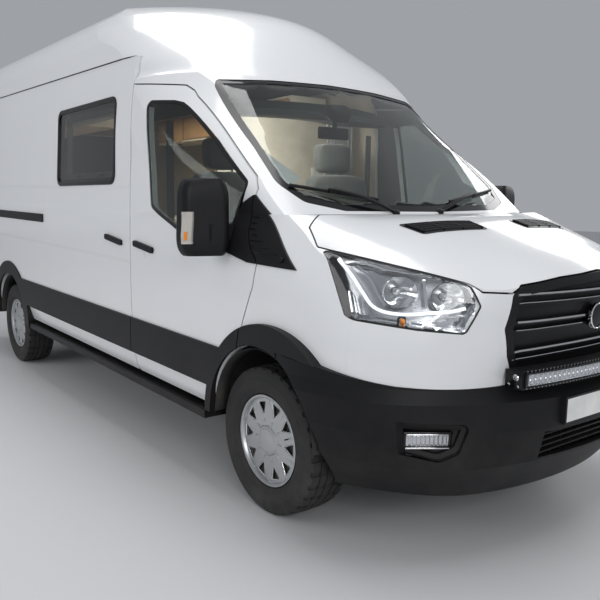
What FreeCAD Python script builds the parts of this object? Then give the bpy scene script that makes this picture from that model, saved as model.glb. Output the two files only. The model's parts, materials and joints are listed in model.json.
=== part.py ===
"""A high-roof camper van: body shell, opening panels, running gear and fittings, in millimetres."""
import FreeCAD
import Part
import math
import os
from FreeCAD import Vector

# Main sizes of the vehicle
LENGTH = 5981.0
WIDTH = 2059.0
HEIGHT = 2790.0
WHEELBASE = 3750.0
FRONT_OVERHANG = 1023.0
FRONT_TRACK = 1732.0
REAR_TRACK = 1743.0
MIRROR_SPAN = 2474.0
BODY_RISE = 42.0
HALF_LENGTH = LENGTH / 2
HALF_WIDTH = WIDTH / 2
AXLE_F = HALF_LENGTH - FRONT_OVERHANG
AXLE_R = AXLE_F - WHEELBASE
RISE_SLOPE = BODY_RISE / HALF_LENGTH

# Walls, gaps and fits
WALL = 50.0
NOSE_WALL = 24.0
PANEL_GAP = 7.0
DOOR_CENTRE_GAP = 9.0
SEAT_GAP = 0.3
GLASS = 6.0
OVERRUN = 400.0

# Stations along and up the body
CAB_BACK_X = 690.0
SLIDE_BACK_X = -825.0
REAR_BOX_X = -400.0
FIREWALL_X = 1960.0
SILL_Z = 446.0
FLOOR_Z = 600.0
FLOOR_THICK = 40.0
BONNET_BACK_X = 2112.0
WING_SPLIT_X = 2490.0
GUTTER_Z = 2272.0
DOOR_TOP_Z = 2106.0

# Wheels and tyres
TYRE_RADIUS = 348.0
TYRE_WIDTH = 238.0
RIM_RADIUS = 208.0
RIM_WIDTH = 178.0
ARCH_RADIUS = 398.0
FLARE_RADIUS = 505.0
FRONT_ARCH_X = AXLE_F + 15.0
ARCH_Z = 404.0
FLARE_SHIFT = 60.0
# Side of the body in cross section, from the sill up to the gutter and the roof shoulder
SIDE_SECTION_SHARES = (
    (0.9568, 0.1577), (0.9830, 0.1953), (0.9937, 0.2509), (0.9976, 0.2867), (1.0000, 0.4014),
    (0.9966, 0.4964), (0.9908, 0.5634), (0.9713, 0.7115), (0.9577, 0.7545), (0.9296, 0.8143),
    (0.8985, 0.8688))
SHOULDER_SHARES = ((0.7586, 0.9466), (0.4973, 0.9824))
SHOULDER_ANGLE = 50.0
HALF = 0.5
CURVE_DEGREE = 3

# Windscreen and roof front in side view, with how far the line falls back at the full half width
WINDSCREEN_LINE_SHARES = (
    (0.7317, 0.4659, 0.1600), (0.6989, 0.4964, 0.1600), (0.6327, 0.5581, 0.1660),
    (0.5583, 0.6272, 0.1800), (0.4735, 0.7061, 0.1910), (0.4130, 0.7624, 0.2060))
ROOF_CAP_LINE_SHARES = (
    (0.4130, 0.7624, 0.2060), (0.3802, 0.8036, 0.2550), (0.3344, 0.8570, 0.4150),
    (0.2909, 0.9004, 0.6180), (0.2571, 0.9229, 0.7000), (0.2006, 0.9462, 0.7820),
    (0.1338, 0.9659, 0.8240), (0.0669, 0.9778, 0.8550), (0.0000, 0.9846, 0.8750),
    (-0.1003, 0.9921, 0.8800))
SCREEN_STATION_SHARES = (-1.08, -0.8, -0.4, 0, 0.4, 0.8, 1.08)

# Plan of the cab sides at rising levels, from behind the door to past the screen pillar
CAP_LEVEL = 3
GLASS_ROW_POINTS = 6
CAB_SIDE_LEVEL_SHARES = (0.4964, 0.5581, 0.7061, 0.7624, 0.8036, 0.8570, 0.9004, 0.9373, 1.0215)
CAB_SIDE_PLAN_SHARES = (
    ((-0.1672, 0.9995), (0.2174, 0.9976), (0.4347, 0.9811), (0.5852, 0.9276), (0.6353, 0.8888),
     (0.6654, 0.8402), (0.7022, 0.7576)),
    ((-0.1672, 0.9947), (0.2174, 0.9917), (0.4013, 0.9713), (0.5183, 0.9228), (0.5869, 0.8596),
     (0.6086, 0.7771), (0.6186, 0.7188)),
    ((-0.1672, 0.9752), (0.2174, 0.9723), (0.3010, 0.9597), (0.3545, 0.9092), (0.3942, 0.8451),
     (0.4314, 0.7431), (0.4481, 0.6799)),
    ((-0.1003, 0.9577), (0.2006, 0.9548), (0.2675, 0.9354), (0.3177, 0.8907), (0.3478, 0.8422),
     (0.3712, 0.7771), (0.4013, 0.6702)),
    ((0.1003, 0.9383), (0.1873, 0.9276), (0.2541, 0.8888), (0.2909, 0.8422), (0.3110, 0.8033),
     (0.3304, 0.7528), (0.3545, 0.6799)),
    ((0.0000, 0.9131), (0.1003, 0.9014), (0.1739, 0.8645), (0.2140, 0.8256), (0.2341, 0.7916),
     (0.2535, 0.7528), (0.2842, 0.6799)),
    ((-0.0669, 0.8694), (0.0167, 0.8567), (0.0936, 0.8256), (0.1304, 0.8014), (0.1505, 0.7790),
     (0.1702, 0.7528), (0.2140, 0.6799)),
    ((-0.2006, 0.8043), (-0.1003, 0.7946), (-0.0167, 0.7829), (0.0201, 0.7771), (0.0502, 0.7674),
     (0.0776, 0.7528), (0.1338, 0.7091)),
    ((-0.4013, 0.7382), (-0.3010, 0.7334), (-0.2006, 0.7237), (-0.1505, 0.7139), (-0.1003, 0.6994),
     (-0.0502, 0.6799), (0.0167, 0.6314)),
)

# Plan of the nose at rising levels
NOSE_LEVEL_SHARES = (0.0717, 0.2688, 0.3477, 0.4158, 0.4502, 0.4964)
NOSE_PLAN_SHARES = (
    ((-0.1672, 1.0024), (0.2307, 0.9995), (0.5350, 0.9966), (0.7357, 0.9811), (0.8293, 0.9383),
     (0.8611, 0.8975), (0.8878, 0.8373), (0.9099, 0.7761), (0.9320, 0.6838), (0.9480, 0.5712),
     (0.9570, 0.4468), (0.9630, 0.2428), (0.9657, 0.0000)),
    ((-0.1672, 1.0024), (0.2307, 0.9995), (0.5350, 0.9966), (0.7357, 0.9811), (0.8293, 0.9383),
     (0.8611, 0.8975), (0.8878, 0.8373), (0.9099, 0.7761), (0.9320, 0.6838), (0.9480, 0.5712),
     (0.9570, 0.4468), (0.9630, 0.2428), (0.9657, 0.0000)),
    ((-0.1672, 1.0024), (0.2174, 1.0000), (0.5016, 0.9966), (0.6855, 0.9830), (0.7858, 0.9500),
     (0.8360, 0.9131), (0.8694, 0.8548), (0.8962, 0.7887), (0.9196, 0.7188), (0.9413, 0.6362),
     (0.9664, 0.5051), (0.9798, 0.2914), (0.9848, 0.0000)),
    ((-0.1672, 1.0024), (0.2174, 0.9998), (0.4681, 0.9947), (0.6353, 0.9791), (0.7280, 0.9548),
     (0.7791, 0.9208), (0.8193, 0.8694), (0.8560, 0.8043), (0.8895, 0.7305), (0.9179, 0.6605),
     (0.9513, 0.5148), (0.9764, 0.2817), (0.9865, 0.0000)),
    ((-0.1672, 1.0015), (0.2174, 0.9985), (0.4514, 0.9888), (0.6186, 0.9616), (0.6955, 0.9305),
     (0.7678, 0.9014), (0.8025, 0.8596), (0.8360, 0.8014), (0.8661, 0.7334), (0.8928, 0.6557),
     (0.9263, 0.5051), (0.9530, 0.2768), (0.9647, 0.0000)),
    ((-0.1672, 0.9995), (0.2174, 0.9976), (0.4347, 0.9811), (0.5852, 0.9276), (0.6353, 0.8995),
     (0.6768, 0.8742), (0.7256, 0.8334), (0.7691, 0.7771), (0.8025, 0.7139), (0.8360, 0.6314),
     (0.8761, 0.4857), (0.9095, 0.2720), (0.9229, 0.0000)),
)

# Bonnet in side view at stations from the centre outwards
SHELF_Z = HEIGHT * NOSE_LEVEL_SHARES[-1]
BONNET_STATION_SHARES = (0.0000, 0.2914, 0.5245, 0.7576, 0.8742, 1.0296)
BONNET_LINE_SHARES = (
    ((0.5016, 0.5376), (0.6353, 0.5108), (0.7056, 0.4986), (0.7524, 0.4961), (0.7995, 0.4882),
     (0.8366, 0.4767), (0.9029, 0.4545), (0.9530, 0.4355), (0.9848, 0.4186), (1.0366, 0.3835)),
    ((0.5016, 0.5376), (0.6353, 0.5108), (0.7056, 0.4986), (0.7524, 0.4946), (0.7995, 0.4857),
     (0.8366, 0.4738), (0.9029, 0.4495), (0.9530, 0.4280), (0.9848, 0.4086), (1.0366, 0.3728)),
    ((0.5016, 0.5376), (0.6353, 0.5108), (0.7056, 0.4982), (0.7524, 0.4896), (0.7995, 0.4774),
     (0.8366, 0.4645), (0.9029, 0.4344), (0.9530, 0.4032), (0.9848, 0.3763), (1.0366, 0.3297)),
    ((0.5016, 0.5376), (0.6353, 0.5108), (0.7056, 0.4986), (0.7524, 0.4803), (0.7995, 0.4581),
     (0.8366, 0.4394), (0.9029, 0.4068), (0.9530, 0.3799), (0.9848, 0.3584), (1.0366, 0.3226)),
    ((0.5016, 0.5806), (0.5869, 0.5520), (0.6400, 0.5211), (0.6768, 0.4968), (0.7266, 0.4753),
     (0.7678, 0.4509), (0.8366, 0.4158), (0.9029, 0.3871), (0.9530, 0.3656), (1.0366, 0.3297)),
    ((0.5016, 0.5735), (0.5869, 0.5448), (0.6400, 0.5140), (0.6768, 0.4918), (0.7266, 0.4681),
     (0.7678, 0.4437), (0.8366, 0.4086), (0.9029, 0.3799), (0.9530, 0.3584), (1.0366, 0.3226)),
)


# Body outlines of doors, lamps, grille and bumper
DOOR_FRONT_EDGE_SHARES = (
    (0.3645, 0.7355), (0.3815, 0.7247), (0.3942, 0.7115), (0.5869, 0.5581), (0.6019, 0.5370),
    (0.6035, 0.5130), (0.6140, 0.4650), (0.6290, 0.4400), (0.6467, 0.4229), (0.6410, 0.3824),
    (0.6170, 0.3190), (0.6083, 0.2781))
DOOR_GLASS_SHARES = (
    (0.2905, 0.7010), (0.2990, 0.7130), (0.3578, 0.7081), (0.3775, 0.7027), (0.3937, 0.6923),
    (0.4871, 0.6248), (0.5840, 0.5490), (0.5790, 0.4700), (0.4100, 0.4640), (0.3458, 0.4900),
    (0.3181, 0.5046))
LAMP_FACE_SHARES = (
    (0.9034, 0.4502), (0.7576, 0.4280), (0.6119, 0.4072), (0.5906, 0.3789), (0.6411, 0.3405),
    (0.7771, 0.3448), (0.9228, 0.3541))
GRILLE_FACE_SHARES = (
    (0.0000, 0.4186), (0.2428, 0.4129), (0.4274, 0.4043), (0.4760, 0.3943), (0.5148, 0.3477),
    (0.4857, 0.3082), (0.4274, 0.2713), (0.0000, 0.2670))
BUMPER_LEVEL_SHARES = (0.0914, 0.1505, 0.2007, 0.2437, 0.2634, 0.2920)
BUMPER_PLAN_SHARES = (
    ((0.7089, 0.9568), (0.7691, 0.8742), (0.8624, 0.7081),
     (0.9079, 0.5653), (0.9346, 0.3507), (0.9470, 0.0000)),
    ((0.7089, 0.9859), (0.7858, 0.9713), (0.8694, 0.8742),
     (0.9296, 0.7188), (0.9781, 0.3205), (0.9865, 0.0000)),
    ((0.7089, 1.0063), (0.8025, 1.0005), (0.8845, 0.8859),
     (0.9547, 0.5828), (0.9898, 0.2914), (0.9965, 0.0000)),
    ((0.7089, 1.0083), (0.8025, 1.0053), (0.8861, 0.8791),
     (0.9530, 0.5925), (0.9881, 0.2914), (0.9958, 0.0000)),
    ((0.7089, 1.0063), (0.8092, 0.9811), (0.8694, 0.8888),
     (0.9346, 0.6702), (0.9597, 0.3837), (0.9664, 0.0000)),
    ((0.7089, 1.0040), (0.8092, 0.9790), (0.8694, 0.8868),
     (0.9346, 0.6690), (0.9590, 0.3837), (0.9650, 0.0000)),
)
SCREEN_FACE_SHARES = (
    (0, 0.4996), (0.5440, 0.5018), (0.7188, 0.5161), (0.7887, 0.5484), (0.7402, 0.7477),
    (0.3885, 0.7556), (0, 0.7584))
BONNET_BRIDGE_SHARES = (0.5828, 0.3964)
BONNET_BACK_SHARES = ((0.7042, 0), (0.7062, 0.7576), (0.7240, 0.8645), (0.7678, 0.9111))
BUMPER_LINE_SHARES = (
    (0.5685, 0.2867), (0.7089, 0.2867), (0.7885, 0.2835), (0.8878, 0.2670), (0.9664, 0.2634))
FOG_FACE_SHARES = ((0.9850, 0.2230), (0.6150, 0.2150), (0.6550, 0.1740), (0.7200, 0.1620), (0.9150, 0.1800))

# Glass, grille, lamps and bumper
DOOR_LIP = 14.0
DOOR_REBATE = 22.0
GLASS_SINK = 4.0
DOOR_GLASS_CORNER = 45.0
WINDOW_X = -15.0
WINDOW_Z = 1548.0
WINDOW_LONG = 980.0
WINDOW_TALL = 505.0
WINDOW_CORNER = 45.0
COWL_HALF = 792.0
BONNET_REST_Y = 620.0
BONNET_REST_LONG = 40.0
COWL_Z = 1300.0
GRILLE_FRAME = 34.0
GRILLE_LAP = 1.0
GRILLE_DEEP = 56.0
GRILLE_BAR_SINK = 10.0
GRILLE_BAR_DEEP = 24.0
GRILLE_BAR = 15.0
GRILLE_BAR_PITCH = 34.0
GRILLE_BAR_SHARES = (0.3060, 0.3480, 0.3860)
LAMP_SINK = 1.5
LAMP_DEEP = 60.0
BUMPER_BACK_X = 2120.0
BUMPER_WALL = 28.0
BUMPER_DEEP = 260.0
INTAKE_HALF = 320.0
INTAKE_LOW = 430.0
INTAKE_HIGH = 545.0
FOG_BACK_X = 2680.0
FOG_CORNER = 25.0
LIGHT_BAR_HALF = 490.0
LIGHT_BAR_LOW = 739.0
LIGHT_BAR_HIGH = 815.0
LIGHT_BAR_DEEP = 62.0
LIGHT_BAR_BOW = 40.0
PLATE_HALF = 240.0
PLATE_LOW = 568.0
PLATE_HIGH = 680.0
PLATE_SET_BACK = 3.0
PLATE_DEEP = 60.0

# Rear end
REAR_DOOR_LOW = 500.0
REAR_DOOR_HIGH = 2130.0
REAR_DOOR_HALF = 900.0
REAR_DOOR_WAIST = 1300.0
REAR_DOOR_LEAN = 40.0
REAR_CORNER = 60.0
REAR_BUMPER_LOW = 340.0
REAR_BUMPER_HIGH = 478.0
REAR_BUMPER_LONG = 250.0
REAR_LAMP_LOW = 900.0
REAR_LAMP_HIGH = 1290.0
REAR_LAMP_WIDE = 82.0
REAR_LAMP_DEEP = 30.0

# Side trim, steps and rail
BAND_LOW = 556.0
BAND_HIGH = 765.0
BAND_BACK_X = -2790.0
TRIM_OUT = HALF_WIDTH + 9.0
TRIM_IN = 900.0
TRIM_FOOT = 400.0
STEP_BACK_X = -1262.0
STEP_FRONT_X = 1522.0
STEP_LOW = 370.0
STEP_HIGH = 410.0
STEP_IN = 860.0
STEP_BRACKET = 50.0
STEP_BRACKETS = 4
RAIL_LOW = 1262.0
RAIL_TALL = 62.0
RAIL_BACK_X = -2450.0

# Mirrors
MIRROR_X = 1760.0
MIRROR_SWEEP = 62.0
MIRROR_LOW = 1192.0
MIRROR_HIGH = 1545.0
MIRROR_WIDE = 228.0
MIRROR_DEEP = 116.0
MIRROR_CORNER = 38.0
MIRROR_LEVEL_SHARES = ((0.0, 0.74), (0.07, 0.92), (0.30, 1.0), (0.66, 0.98), (0.92, 0.88), (1.0, 0.70))
MIRROR_ARM_LOW = 1264.0
MIRROR_ARM_TALL = 76.0
MIRROR_ARM_LONG = 56.0
PLATE_PROUD = 9.0
CORNER_PLATE_SHARES = (
    (0.6040, 0.5290), (0.7330, 0.4155), (0.6262, 0.4195), (0.5680, 0.4330), (0.5680, 0.4700),
    (0.5850, 0.5150))
HANDLE_LONG = 236.0
HANDLE_TALL = 34.0
HANDLE_PROUD = 30.0
HANDLE_CORNER = 14.0
HANDLE_Z = 1184.0
CAB_HANDLE_X = 870.0
SLIDE_HANDLE_X = 465.0
SLIDE_HANDLE_Z = 1206.0
HANDLE_DROP_SHARE = 0.13

# Floor, chassis and running gear
RAIL_IN = 400.0
RAIL_OUT = 470.0
CHASSIS_LOW = 470.0
CHASSIS_FRONT_X = 2680.0
CHASSIS_BACK_X = -2850.0
WHEELHOUSE_WALL = 6.0
FRONT_HOUSE_IN = 530.0
HOUSE_RADIUS = 412.0
REAR_HOUSE_IN = 690.0
KING_Y = FRONT_TRACK / 2 - 76.0
KNUCKLE_HALF = 45.0
KNUCKLE_LOW = 285.0
KNUCKLE_HIGH = 435.0
ARM_THICK = 40.0
ARM_HALF = 34.0
SUBFRAME_LOW = 245.0
SUBFRAME_HALF_X = 75.0
STUB_REACH = 46.0
AXLE_TUBE = 46.0
DIFF_RADIUS = 135.0
SPRING_HALF = 620.0
SPRING_WIDE = 66.0
SPRING_THICK = 28.0
ENGINE_LOW = 530.0
BEARER_TALL = 50.0
ENGINE_HIGH = 1080.0
ENGINE_HALF = 300.0
ENGINE_BACK_X = 2080.0
ENGINE_LONG = 560.0
TANK_LOW = 400.0
CROSS_MEMBER_SHARES = (-0.90, -0.45, -0.05, 0.28)

# Cab and living space
DASH_HALF = 880.0
DASH_SHARES = (
    (0.6450, 0.2600), (0.6450, 0.4860), (0.5950, 0.4840), (0.5450, 0.4500), (0.5420, 0.3900),
    (0.5850, 0.3400))
FIREWALL_THICK = 20.0
WHEEL_X = 1505.0
WHEEL_Y = 400.0
WHEEL_Z = 1120.0
STEERING_RADIUS = 185.0
STEERING_GRIP = 14.0
STEERING_LEAN = 28.0
SEAT_X = 1130.0
SEAT_Y = 440.0
SEAT_WIDE = 480.0
SEAT_LONG = 480.0
SEAT_BOX_TALL = 250.0
CUSHION_TALL = 120.0
BACKREST_TALL = 620.0
BACKREST_THICK = 110.0
HEADREST_TALL = 190.0
HEADREST_WIDE = 260.0
CABINET_BACK_X = -1000.0
CABINET_FRONT_X = 250.0
CABINET_DEEP = 480.0
CABINET_TALL = 900.0
BED_FRONT_X = -1060.0
BED_Z = 1110.0
BED_THICK = 40.0
BED_BEARER_Y = 900.0
TOP_EDGE_Y = 930.0
WORKTOP_THICK = 30.0

BUMPER_STEP = 45.0
BODY_BACK_X = -HALF_LENGTH + BUMPER_STEP
CORNER_LIMIT = 0.48
TINY = 0.01
SCREEN_CORNER = 60.0
LAMP_BACK_X = 2200.0
LAMP_CORNER = 22.0
GRILLE_BACK_X = 2500.0
GRILLE_CORNER = 30.0

# Wheel, hub and cover
RIM_WALL = 8.0
RIM_DROP = 26.0
DISC_THICK = 16.0
HUB_BORE = 40.0
HUB_RADIUS = 55.0
HUB_LENGTH = 60.0
COVER_FACE = 100.0
COVER_RADIUS = 214.0
COVER_HUB_RADIUS = 66.0
COVER_STEP = 7.0
COVER_DISH = 16.0
COVER_DEPTH = 26.0
COVER_WINDOWS = 10
COVER_WINDOW_INNER = 112.0
COVER_WINDOW_OUTER = 186.0
COVER_WINDOW_CORNER = 9.0
COVER_WINDOW_SHARE = 0.62
TYRE_SHOULDER = 26.0
TYRE_LEAN = 0.35


def raked(z, x):
    return z - RISE_SLOPE * x


def spline(points):
    curve = Part.BSplineCurve()
    curve.interpolate(points)
    return curve.toShape()


def lines(points):
    return [Part.LineSegment(a, b).toShape() for a, b in zip(points, points[1:])]


def flipped(points):
    return [Vector(p.x, -p.y, p.z) for p in reversed(points)]


def lone(shape):
    """The solid itself where a shape holds just one."""
    return shape.Solids[0] if len(shape.Solids) == 1 else shape


def smooth_loft(wires):
    return Part.makeLoft(wires, True, False, False, CURVE_DEGREE)


def inset(pairs, depth):
    """Move an open 2-D line to its right-hand side by a depth."""
    if not depth:
        return list(pairs)
    moved = []
    last = len(pairs) - 1
    for i, (a, b) in enumerate(pairs):
        before, after = pairs[max(i - 1, 0)], pairs[min(i + 1, last)]
        da, db = after[0] - before[0], after[1] - before[1]
        size = math.hypot(da, db)
        moved.append((a + depth * db / size, b - depth * da / size))
    return moved


def box(x0, x1, y0, y1, z0, z1):
    return Part.makeBox(x1 - x0, y1 - y0, z1 - z0, Vector(x0, y0, z0))


def mirrored(shape):
    return shape.mirror(Vector(0, 0, 0), Vector(0, 1, 0))


def section_wire(x, depth):
    side = inset([(HALF_WIDTH * a, HEIGHT * b) for a, b in SIDE_SECTION_SHARES], -depth)
    if depth:
        side[0] = (side[0][0], side[0][1] - OVERRUN)
    mid, top = [(HALF_WIDTH * a, HEIGHT * b) for a, b in SHOULDER_SHARES]
    turn = math.radians(SHOULDER_ANGLE)
    mid = (mid[0] - depth * math.cos(turn), mid[1] - depth * math.sin(turn))
    top = (top[0], top[1] - depth)
    crown = HEIGHT - BODY_RISE - depth
    rise = raked(0, x)

    def at(pair, sign):
        return Vector(x, sign * pair[0], pair[1] + rise)

    edges = []
    left = [at(p, 1) for p in side]
    right = [at(p, -1) for p in side]
    edges.append(spline(left))
    edges.append(Part.Arc(left[-1], at(mid, 1), at(top, 1)).toShape())
    edges.append(Part.Arc(at(top, 1), Vector(x, 0, crown + rise), at(top, -1)).toShape())
    edges.append(Part.Arc(at(top, -1), at(mid, -1), right[-1]).toShape())
    edges.append(spline(right[::-1]))
    edges += lines([right[0], left[0]])
    return Part.Wire(edges)


def body_prism(x0, x1, depth):
    face = Part.Face(section_wire(x0, depth))
    return face.extrude(Vector(x1 - x0, 0, -RISE_SLOPE * (x1 - x0)))


def screen_solid(depth):
    """The space behind the windscreen and the roof front, as wide as the body and more."""
    wires = []
    for share in SCREEN_STATION_SHARES:
        y = HALF_WIDTH * share
        fall = HALF_WIDTH * share * share

        def line_of(table):
            return inset([(HALF_LENGTH * x - fall * s, HEIGHT * z) for x, z, s in table], -depth)

        glass = [Vector(x, y, z) for x, z in line_of(WINDSCREEN_LINE_SHARES)]
        cap = [Vector(x, y, z) for x, z in line_of(ROOF_CAP_LINE_SHARES)]
        joint = (glass[-1] + cap[0]) * HALF
        glass[-1] = joint
        cap[0] = joint
        back = -HALF_LENGTH
        corners = [cap[-1], Vector(back, y, cap[-1].z + BODY_RISE), Vector(back, y, glass[0].z), glass[0]]
        wires.append(Part.Wire([spline(glass), spline(cap)] + lines(corners)))
    return smooth_loft(wires)


def plan_wire(rows, z, depth, front=None):
    """A closed plan outline at a level from its left half, closed ahead by a line when it is open."""
    pairs = inset([(HALF_LENGTH * x, HALF_WIDTH * y) for x, y in rows], depth)
    left = [Vector(x, y, z) for x, y in pairs]
    back = Vector(-HALF_LENGTH, left[0].y, z)
    start = Vector(left[0].x, left[0].y, z)
    if front is None:
        left[-1] = Vector(left[-1].x, 0, z)
        both = left + flipped(left)[1:]
        edges = [spline(both)]
    else:
        tip = Vector(front, left[-1].y, z)
        edges = [spline(left)] + lines([left[-1], tip] + flipped([left[-1], tip]))
        edges.append(spline(flipped(left)))
    tail = flipped([back, start])
    edges += lines(tail + [back, start])
    return Part.Wire(edges)


def cab_sides(depth):
    wires = []
    for level, row in zip(CAB_SIDE_LEVEL_SHARES, CAB_SIDE_PLAN_SHARES):
        wires.append(plan_wire(row, HEIGHT * level, depth, HALF_LENGTH + OVERRUN))
    glass, cap = wires[:CAP_LEVEL + 1], wires[CAP_LEVEL:]
    return smooth_loft(glass).fuse(smooth_loft(cap))


def glass_sides():
    """The cab side as one smooth surface from below the window line, for the door glass."""
    rows = (NOSE_PLAN_SHARES[-2][:GLASS_ROW_POINTS],) + CAB_SIDE_PLAN_SHARES[:CAP_LEVEL + 1]
    levels = (NOSE_LEVEL_SHARES[-2],) + CAB_SIDE_LEVEL_SHARES[:CAP_LEVEL + 1]
    return smooth_loft([plan_wire(row, HEIGHT * z, 0, HALF_LENGTH + OVERRUN) for z, row in zip(levels, rows)])


def nose_sides(depth):
    wires = []
    for level, row in zip(NOSE_LEVEL_SHARES, NOSE_PLAN_SHARES):
        wires.append(plan_wire(row, HEIGHT * level, depth))
    return smooth_loft(wires)


def bonnet_top(depth):
    """The space below the bonnet and the wing shoulders."""
    wires = []
    stations = list(zip(BONNET_STATION_SHARES, BONNET_LINE_SHARES))
    for share, row in [(-s, r) for s, r in stations[:0:-1]] + stations:
        y = HALF_WIDTH * share
        pairs = inset([(HALF_LENGTH * x, HEIGHT * z) for x, z in row], depth)
        top = [Vector(x, y, z) for x, z in pairs]
        foot = SILL_Z - OVERRUN
        back = REAR_BOX_X - OVERRUN
        corners = [top[-1], Vector(top[-1].x, y, foot), Vector(back, y, foot),
                   Vector(back, y, top[0].z), top[0]]
        wires.append(Part.Wire([spline(top)] + lines(corners)))
    return smooth_loft(wires)


def cab_upper(depth):
    return lone(screen_solid(depth).common(cab_sides(depth)))


def nose_volume(depth, shelf):
    whole = nose_sides(depth).common(bonnet_top(depth))
    return lone(whole.common(box(REAR_BOX_X - OVERRUN, LENGTH, -LENGTH, LENGTH, 0, shelf)))


def joined_body(upper, lower, depth):
    """The cab over the nose, cut to the body's cross section and joined to the rear."""
    section = body_prism(REAR_BOX_X, HALF_LENGTH + OVERRUN, depth)
    front = lone(lone(upper.common(section)).fuse(lone(lower.common(section))))
    rear = body_prism(BODY_BACK_X + depth, REAR_BOX_X, depth)
    return lone(front.fuse(rear).removeSplitter())


def body_volume():
    """The whole closed body."""
    return joined_body(cab_upper(0), nose_volume(0, SHELF_Z), 0)


def inner_volume():
    """The space inside the walls, forward to the firewall and the screen."""
    low = nose_sides(WALL).common(box(REAR_BOX_X - OVERRUN, FIREWALL_X, -LENGTH, LENGTH, 0, SHELF_Z))
    return joined_body(cab_upper(WALL), lone(low), WALL)


def rounded(points, radii):
    """A closed wire through points, each corner with its own radius."""
    count = len(points)
    if not isinstance(radii, (list, tuple)):
        radii = [radii] * count
    ends = []
    edges = []
    for i, p in enumerate(points):
        a = (points[i - 1] - p)
        b = (points[(i + 1) % count] - p)
        reach = min(a.Length, b.Length) * CORNER_LIMIT
        a.normalize()
        b.normalize()
        if not radii[i]:
            ends.append((p, p))
            continue
        half = a.getAngle(b) * HALF
        run = min(radii[i] / math.tan(half), reach)
        radius = run * math.tan(half)
        middle = a + b
        middle.normalize()
        top = p + middle * (radius / math.sin(half) - radius)
        ends.append((p + a * run, p + b * run))
        edges.append(Part.Arc(p + a * run, top, p + b * run).toShape())
    for i, (_, leave) in enumerate(ends):
        meet = ends[(i + 1) % count][0]
        if (meet - leave).Length > TINY:
            edges.append(Part.LineSegment(leave, meet).toShape())
    return Part.Wire(Part.__sortEdges__(edges))


def side_prism(pairs, y0, y1, radii=0):
    """An outline of (x, z) pairs, drawn across the body from y0 to y1."""
    wire = rounded([Vector(x, y0, z) for x, z in pairs], radii)
    return Part.Face(wire).extrude(Vector(0, y1 - y0, 0))


def front_prism(pairs, x0, x1, radii=0):
    wire = rounded([Vector(x0, y, z) for y, z in pairs], radii)
    return Part.Face(wire).extrude(Vector(x1 - x0, 0, 0))


def plan_prism(pairs, z0, z1, radii=0):
    wire = rounded([Vector(x, y, z0) for x, y in pairs], radii)
    return Part.Face(wire).extrude(Vector(0, 0, z1 - z0))


def grown(pairs, amount):
    """A closed outline moved outwards all round, its corners kept."""
    area = sum(a[0] * b[1] - b[0] * a[1] for a, b in zip(pairs, pairs[1:] + pairs[:1]))
    turn = 1 if area > 0 else -1
    out = []
    count = len(pairs)
    for i, p in enumerate(pairs):
        q, r = pairs[i - 1], pairs[(i + 1) % count]
        d1 = (p[0] - q[0], p[1] - q[1])
        d2 = (r[0] - p[0], r[1] - p[1])
        n1 = (turn * d1[1] / math.hypot(*d1), -turn * d1[0] / math.hypot(*d1))
        n2 = (turn * d2[1] / math.hypot(*d2), -turn * d2[0] / math.hypot(*d2))
        scale = amount / (1 + n1[0] * n2[0] + n1[1] * n2[1])
        out.append((p[0] + (n1[0] + n2[0]) * scale, p[1] + (n1[1] + n2[1]) * scale))
    return out


def tube(centre, axis, outer, inner, length):
    ring = Part.makeCylinder(outer, length, centre, axis)
    return ring.cut(Part.makeCylinder(inner, length, centre, axis)) if inner else ring


def shares(table, first, second):
    return [(first * a, second * b) for a, b in table]


def door_outline(gap):
    """The cab door in side view."""
    front = shares(DOOR_FRONT_EDGE_SHARES, HALF_LENGTH, HEIGHT)
    back = CAB_BACK_X + PANEL_GAP * HALF
    foot = SILL_Z - OVERRUN * HALF
    pairs = [(back, foot), (back, raked(DOOR_TOP_Z, back))] + front + [(front[-1][0], foot)]
    return grown(pairs, gap)


def slide_outline(gap):
    front = CAB_BACK_X - PANEL_GAP * HALF
    top = raked(GUTTER_Z, 0) - PANEL_GAP
    foot = SILL_Z - OVERRUN * HALF
    back = SLIDE_BACK_X
    pairs = [(back, foot), (front, foot), (front, raked(top, front)), (back, raked(top, back))]
    return grown(pairs, gap)


def arch_cut(x, radius):
    return Part.makeCylinder(radius, LENGTH, Vector(x, 0, ARCH_Z), Vector(0, 1, 0))


def far_box(x0=-LENGTH, x1=LENGTH, y0=-LENGTH, y1=LENGTH, z0=-LENGTH, z1=LENGTH):
    return box(x0, x1, y0, y1, z0, z1)


def gutter_plane(shift):
    """The space above the gutter, which rises to the rear with the body."""
    z0 = GUTTER_Z + shift
    ends = (-HALF_LENGTH - OVERRUN, CAB_BACK_X + OVERRUN)
    pairs = [(ends[0], raked(z0, ends[0])), (ends[1], raked(z0, ends[1])),
             (ends[1], LENGTH), (ends[0], LENGTH)]
    return side_prism(pairs, -LENGTH, LENGTH)


def windscreen_outline(grow):
    half = shares(SCREEN_FACE_SHARES, HALF_WIDTH, HEIGHT)
    pairs = half + [(-y, z) for y, z in half[-2:0:-1]]
    return front_prism(grown(pairs, grow), CAB_BACK_X, LENGTH, SCREEN_CORNER)


def lamp_prism(grow):
    pairs = grown(shares(LAMP_FACE_SHARES, HALF_WIDTH, HEIGHT), grow)
    return front_prism(pairs, LAMP_BACK_X, LENGTH, LAMP_CORNER)


def grille_prism(grow):
    half = shares(GRILLE_FACE_SHARES, HALF_WIDTH, HEIGHT)
    pairs = half + [(-y, z) for y, z in half[-2:0:-1]]
    return front_prism(grown(pairs, grow), GRILLE_BACK_X, LENGTH, GRILLE_CORNER)


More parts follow.
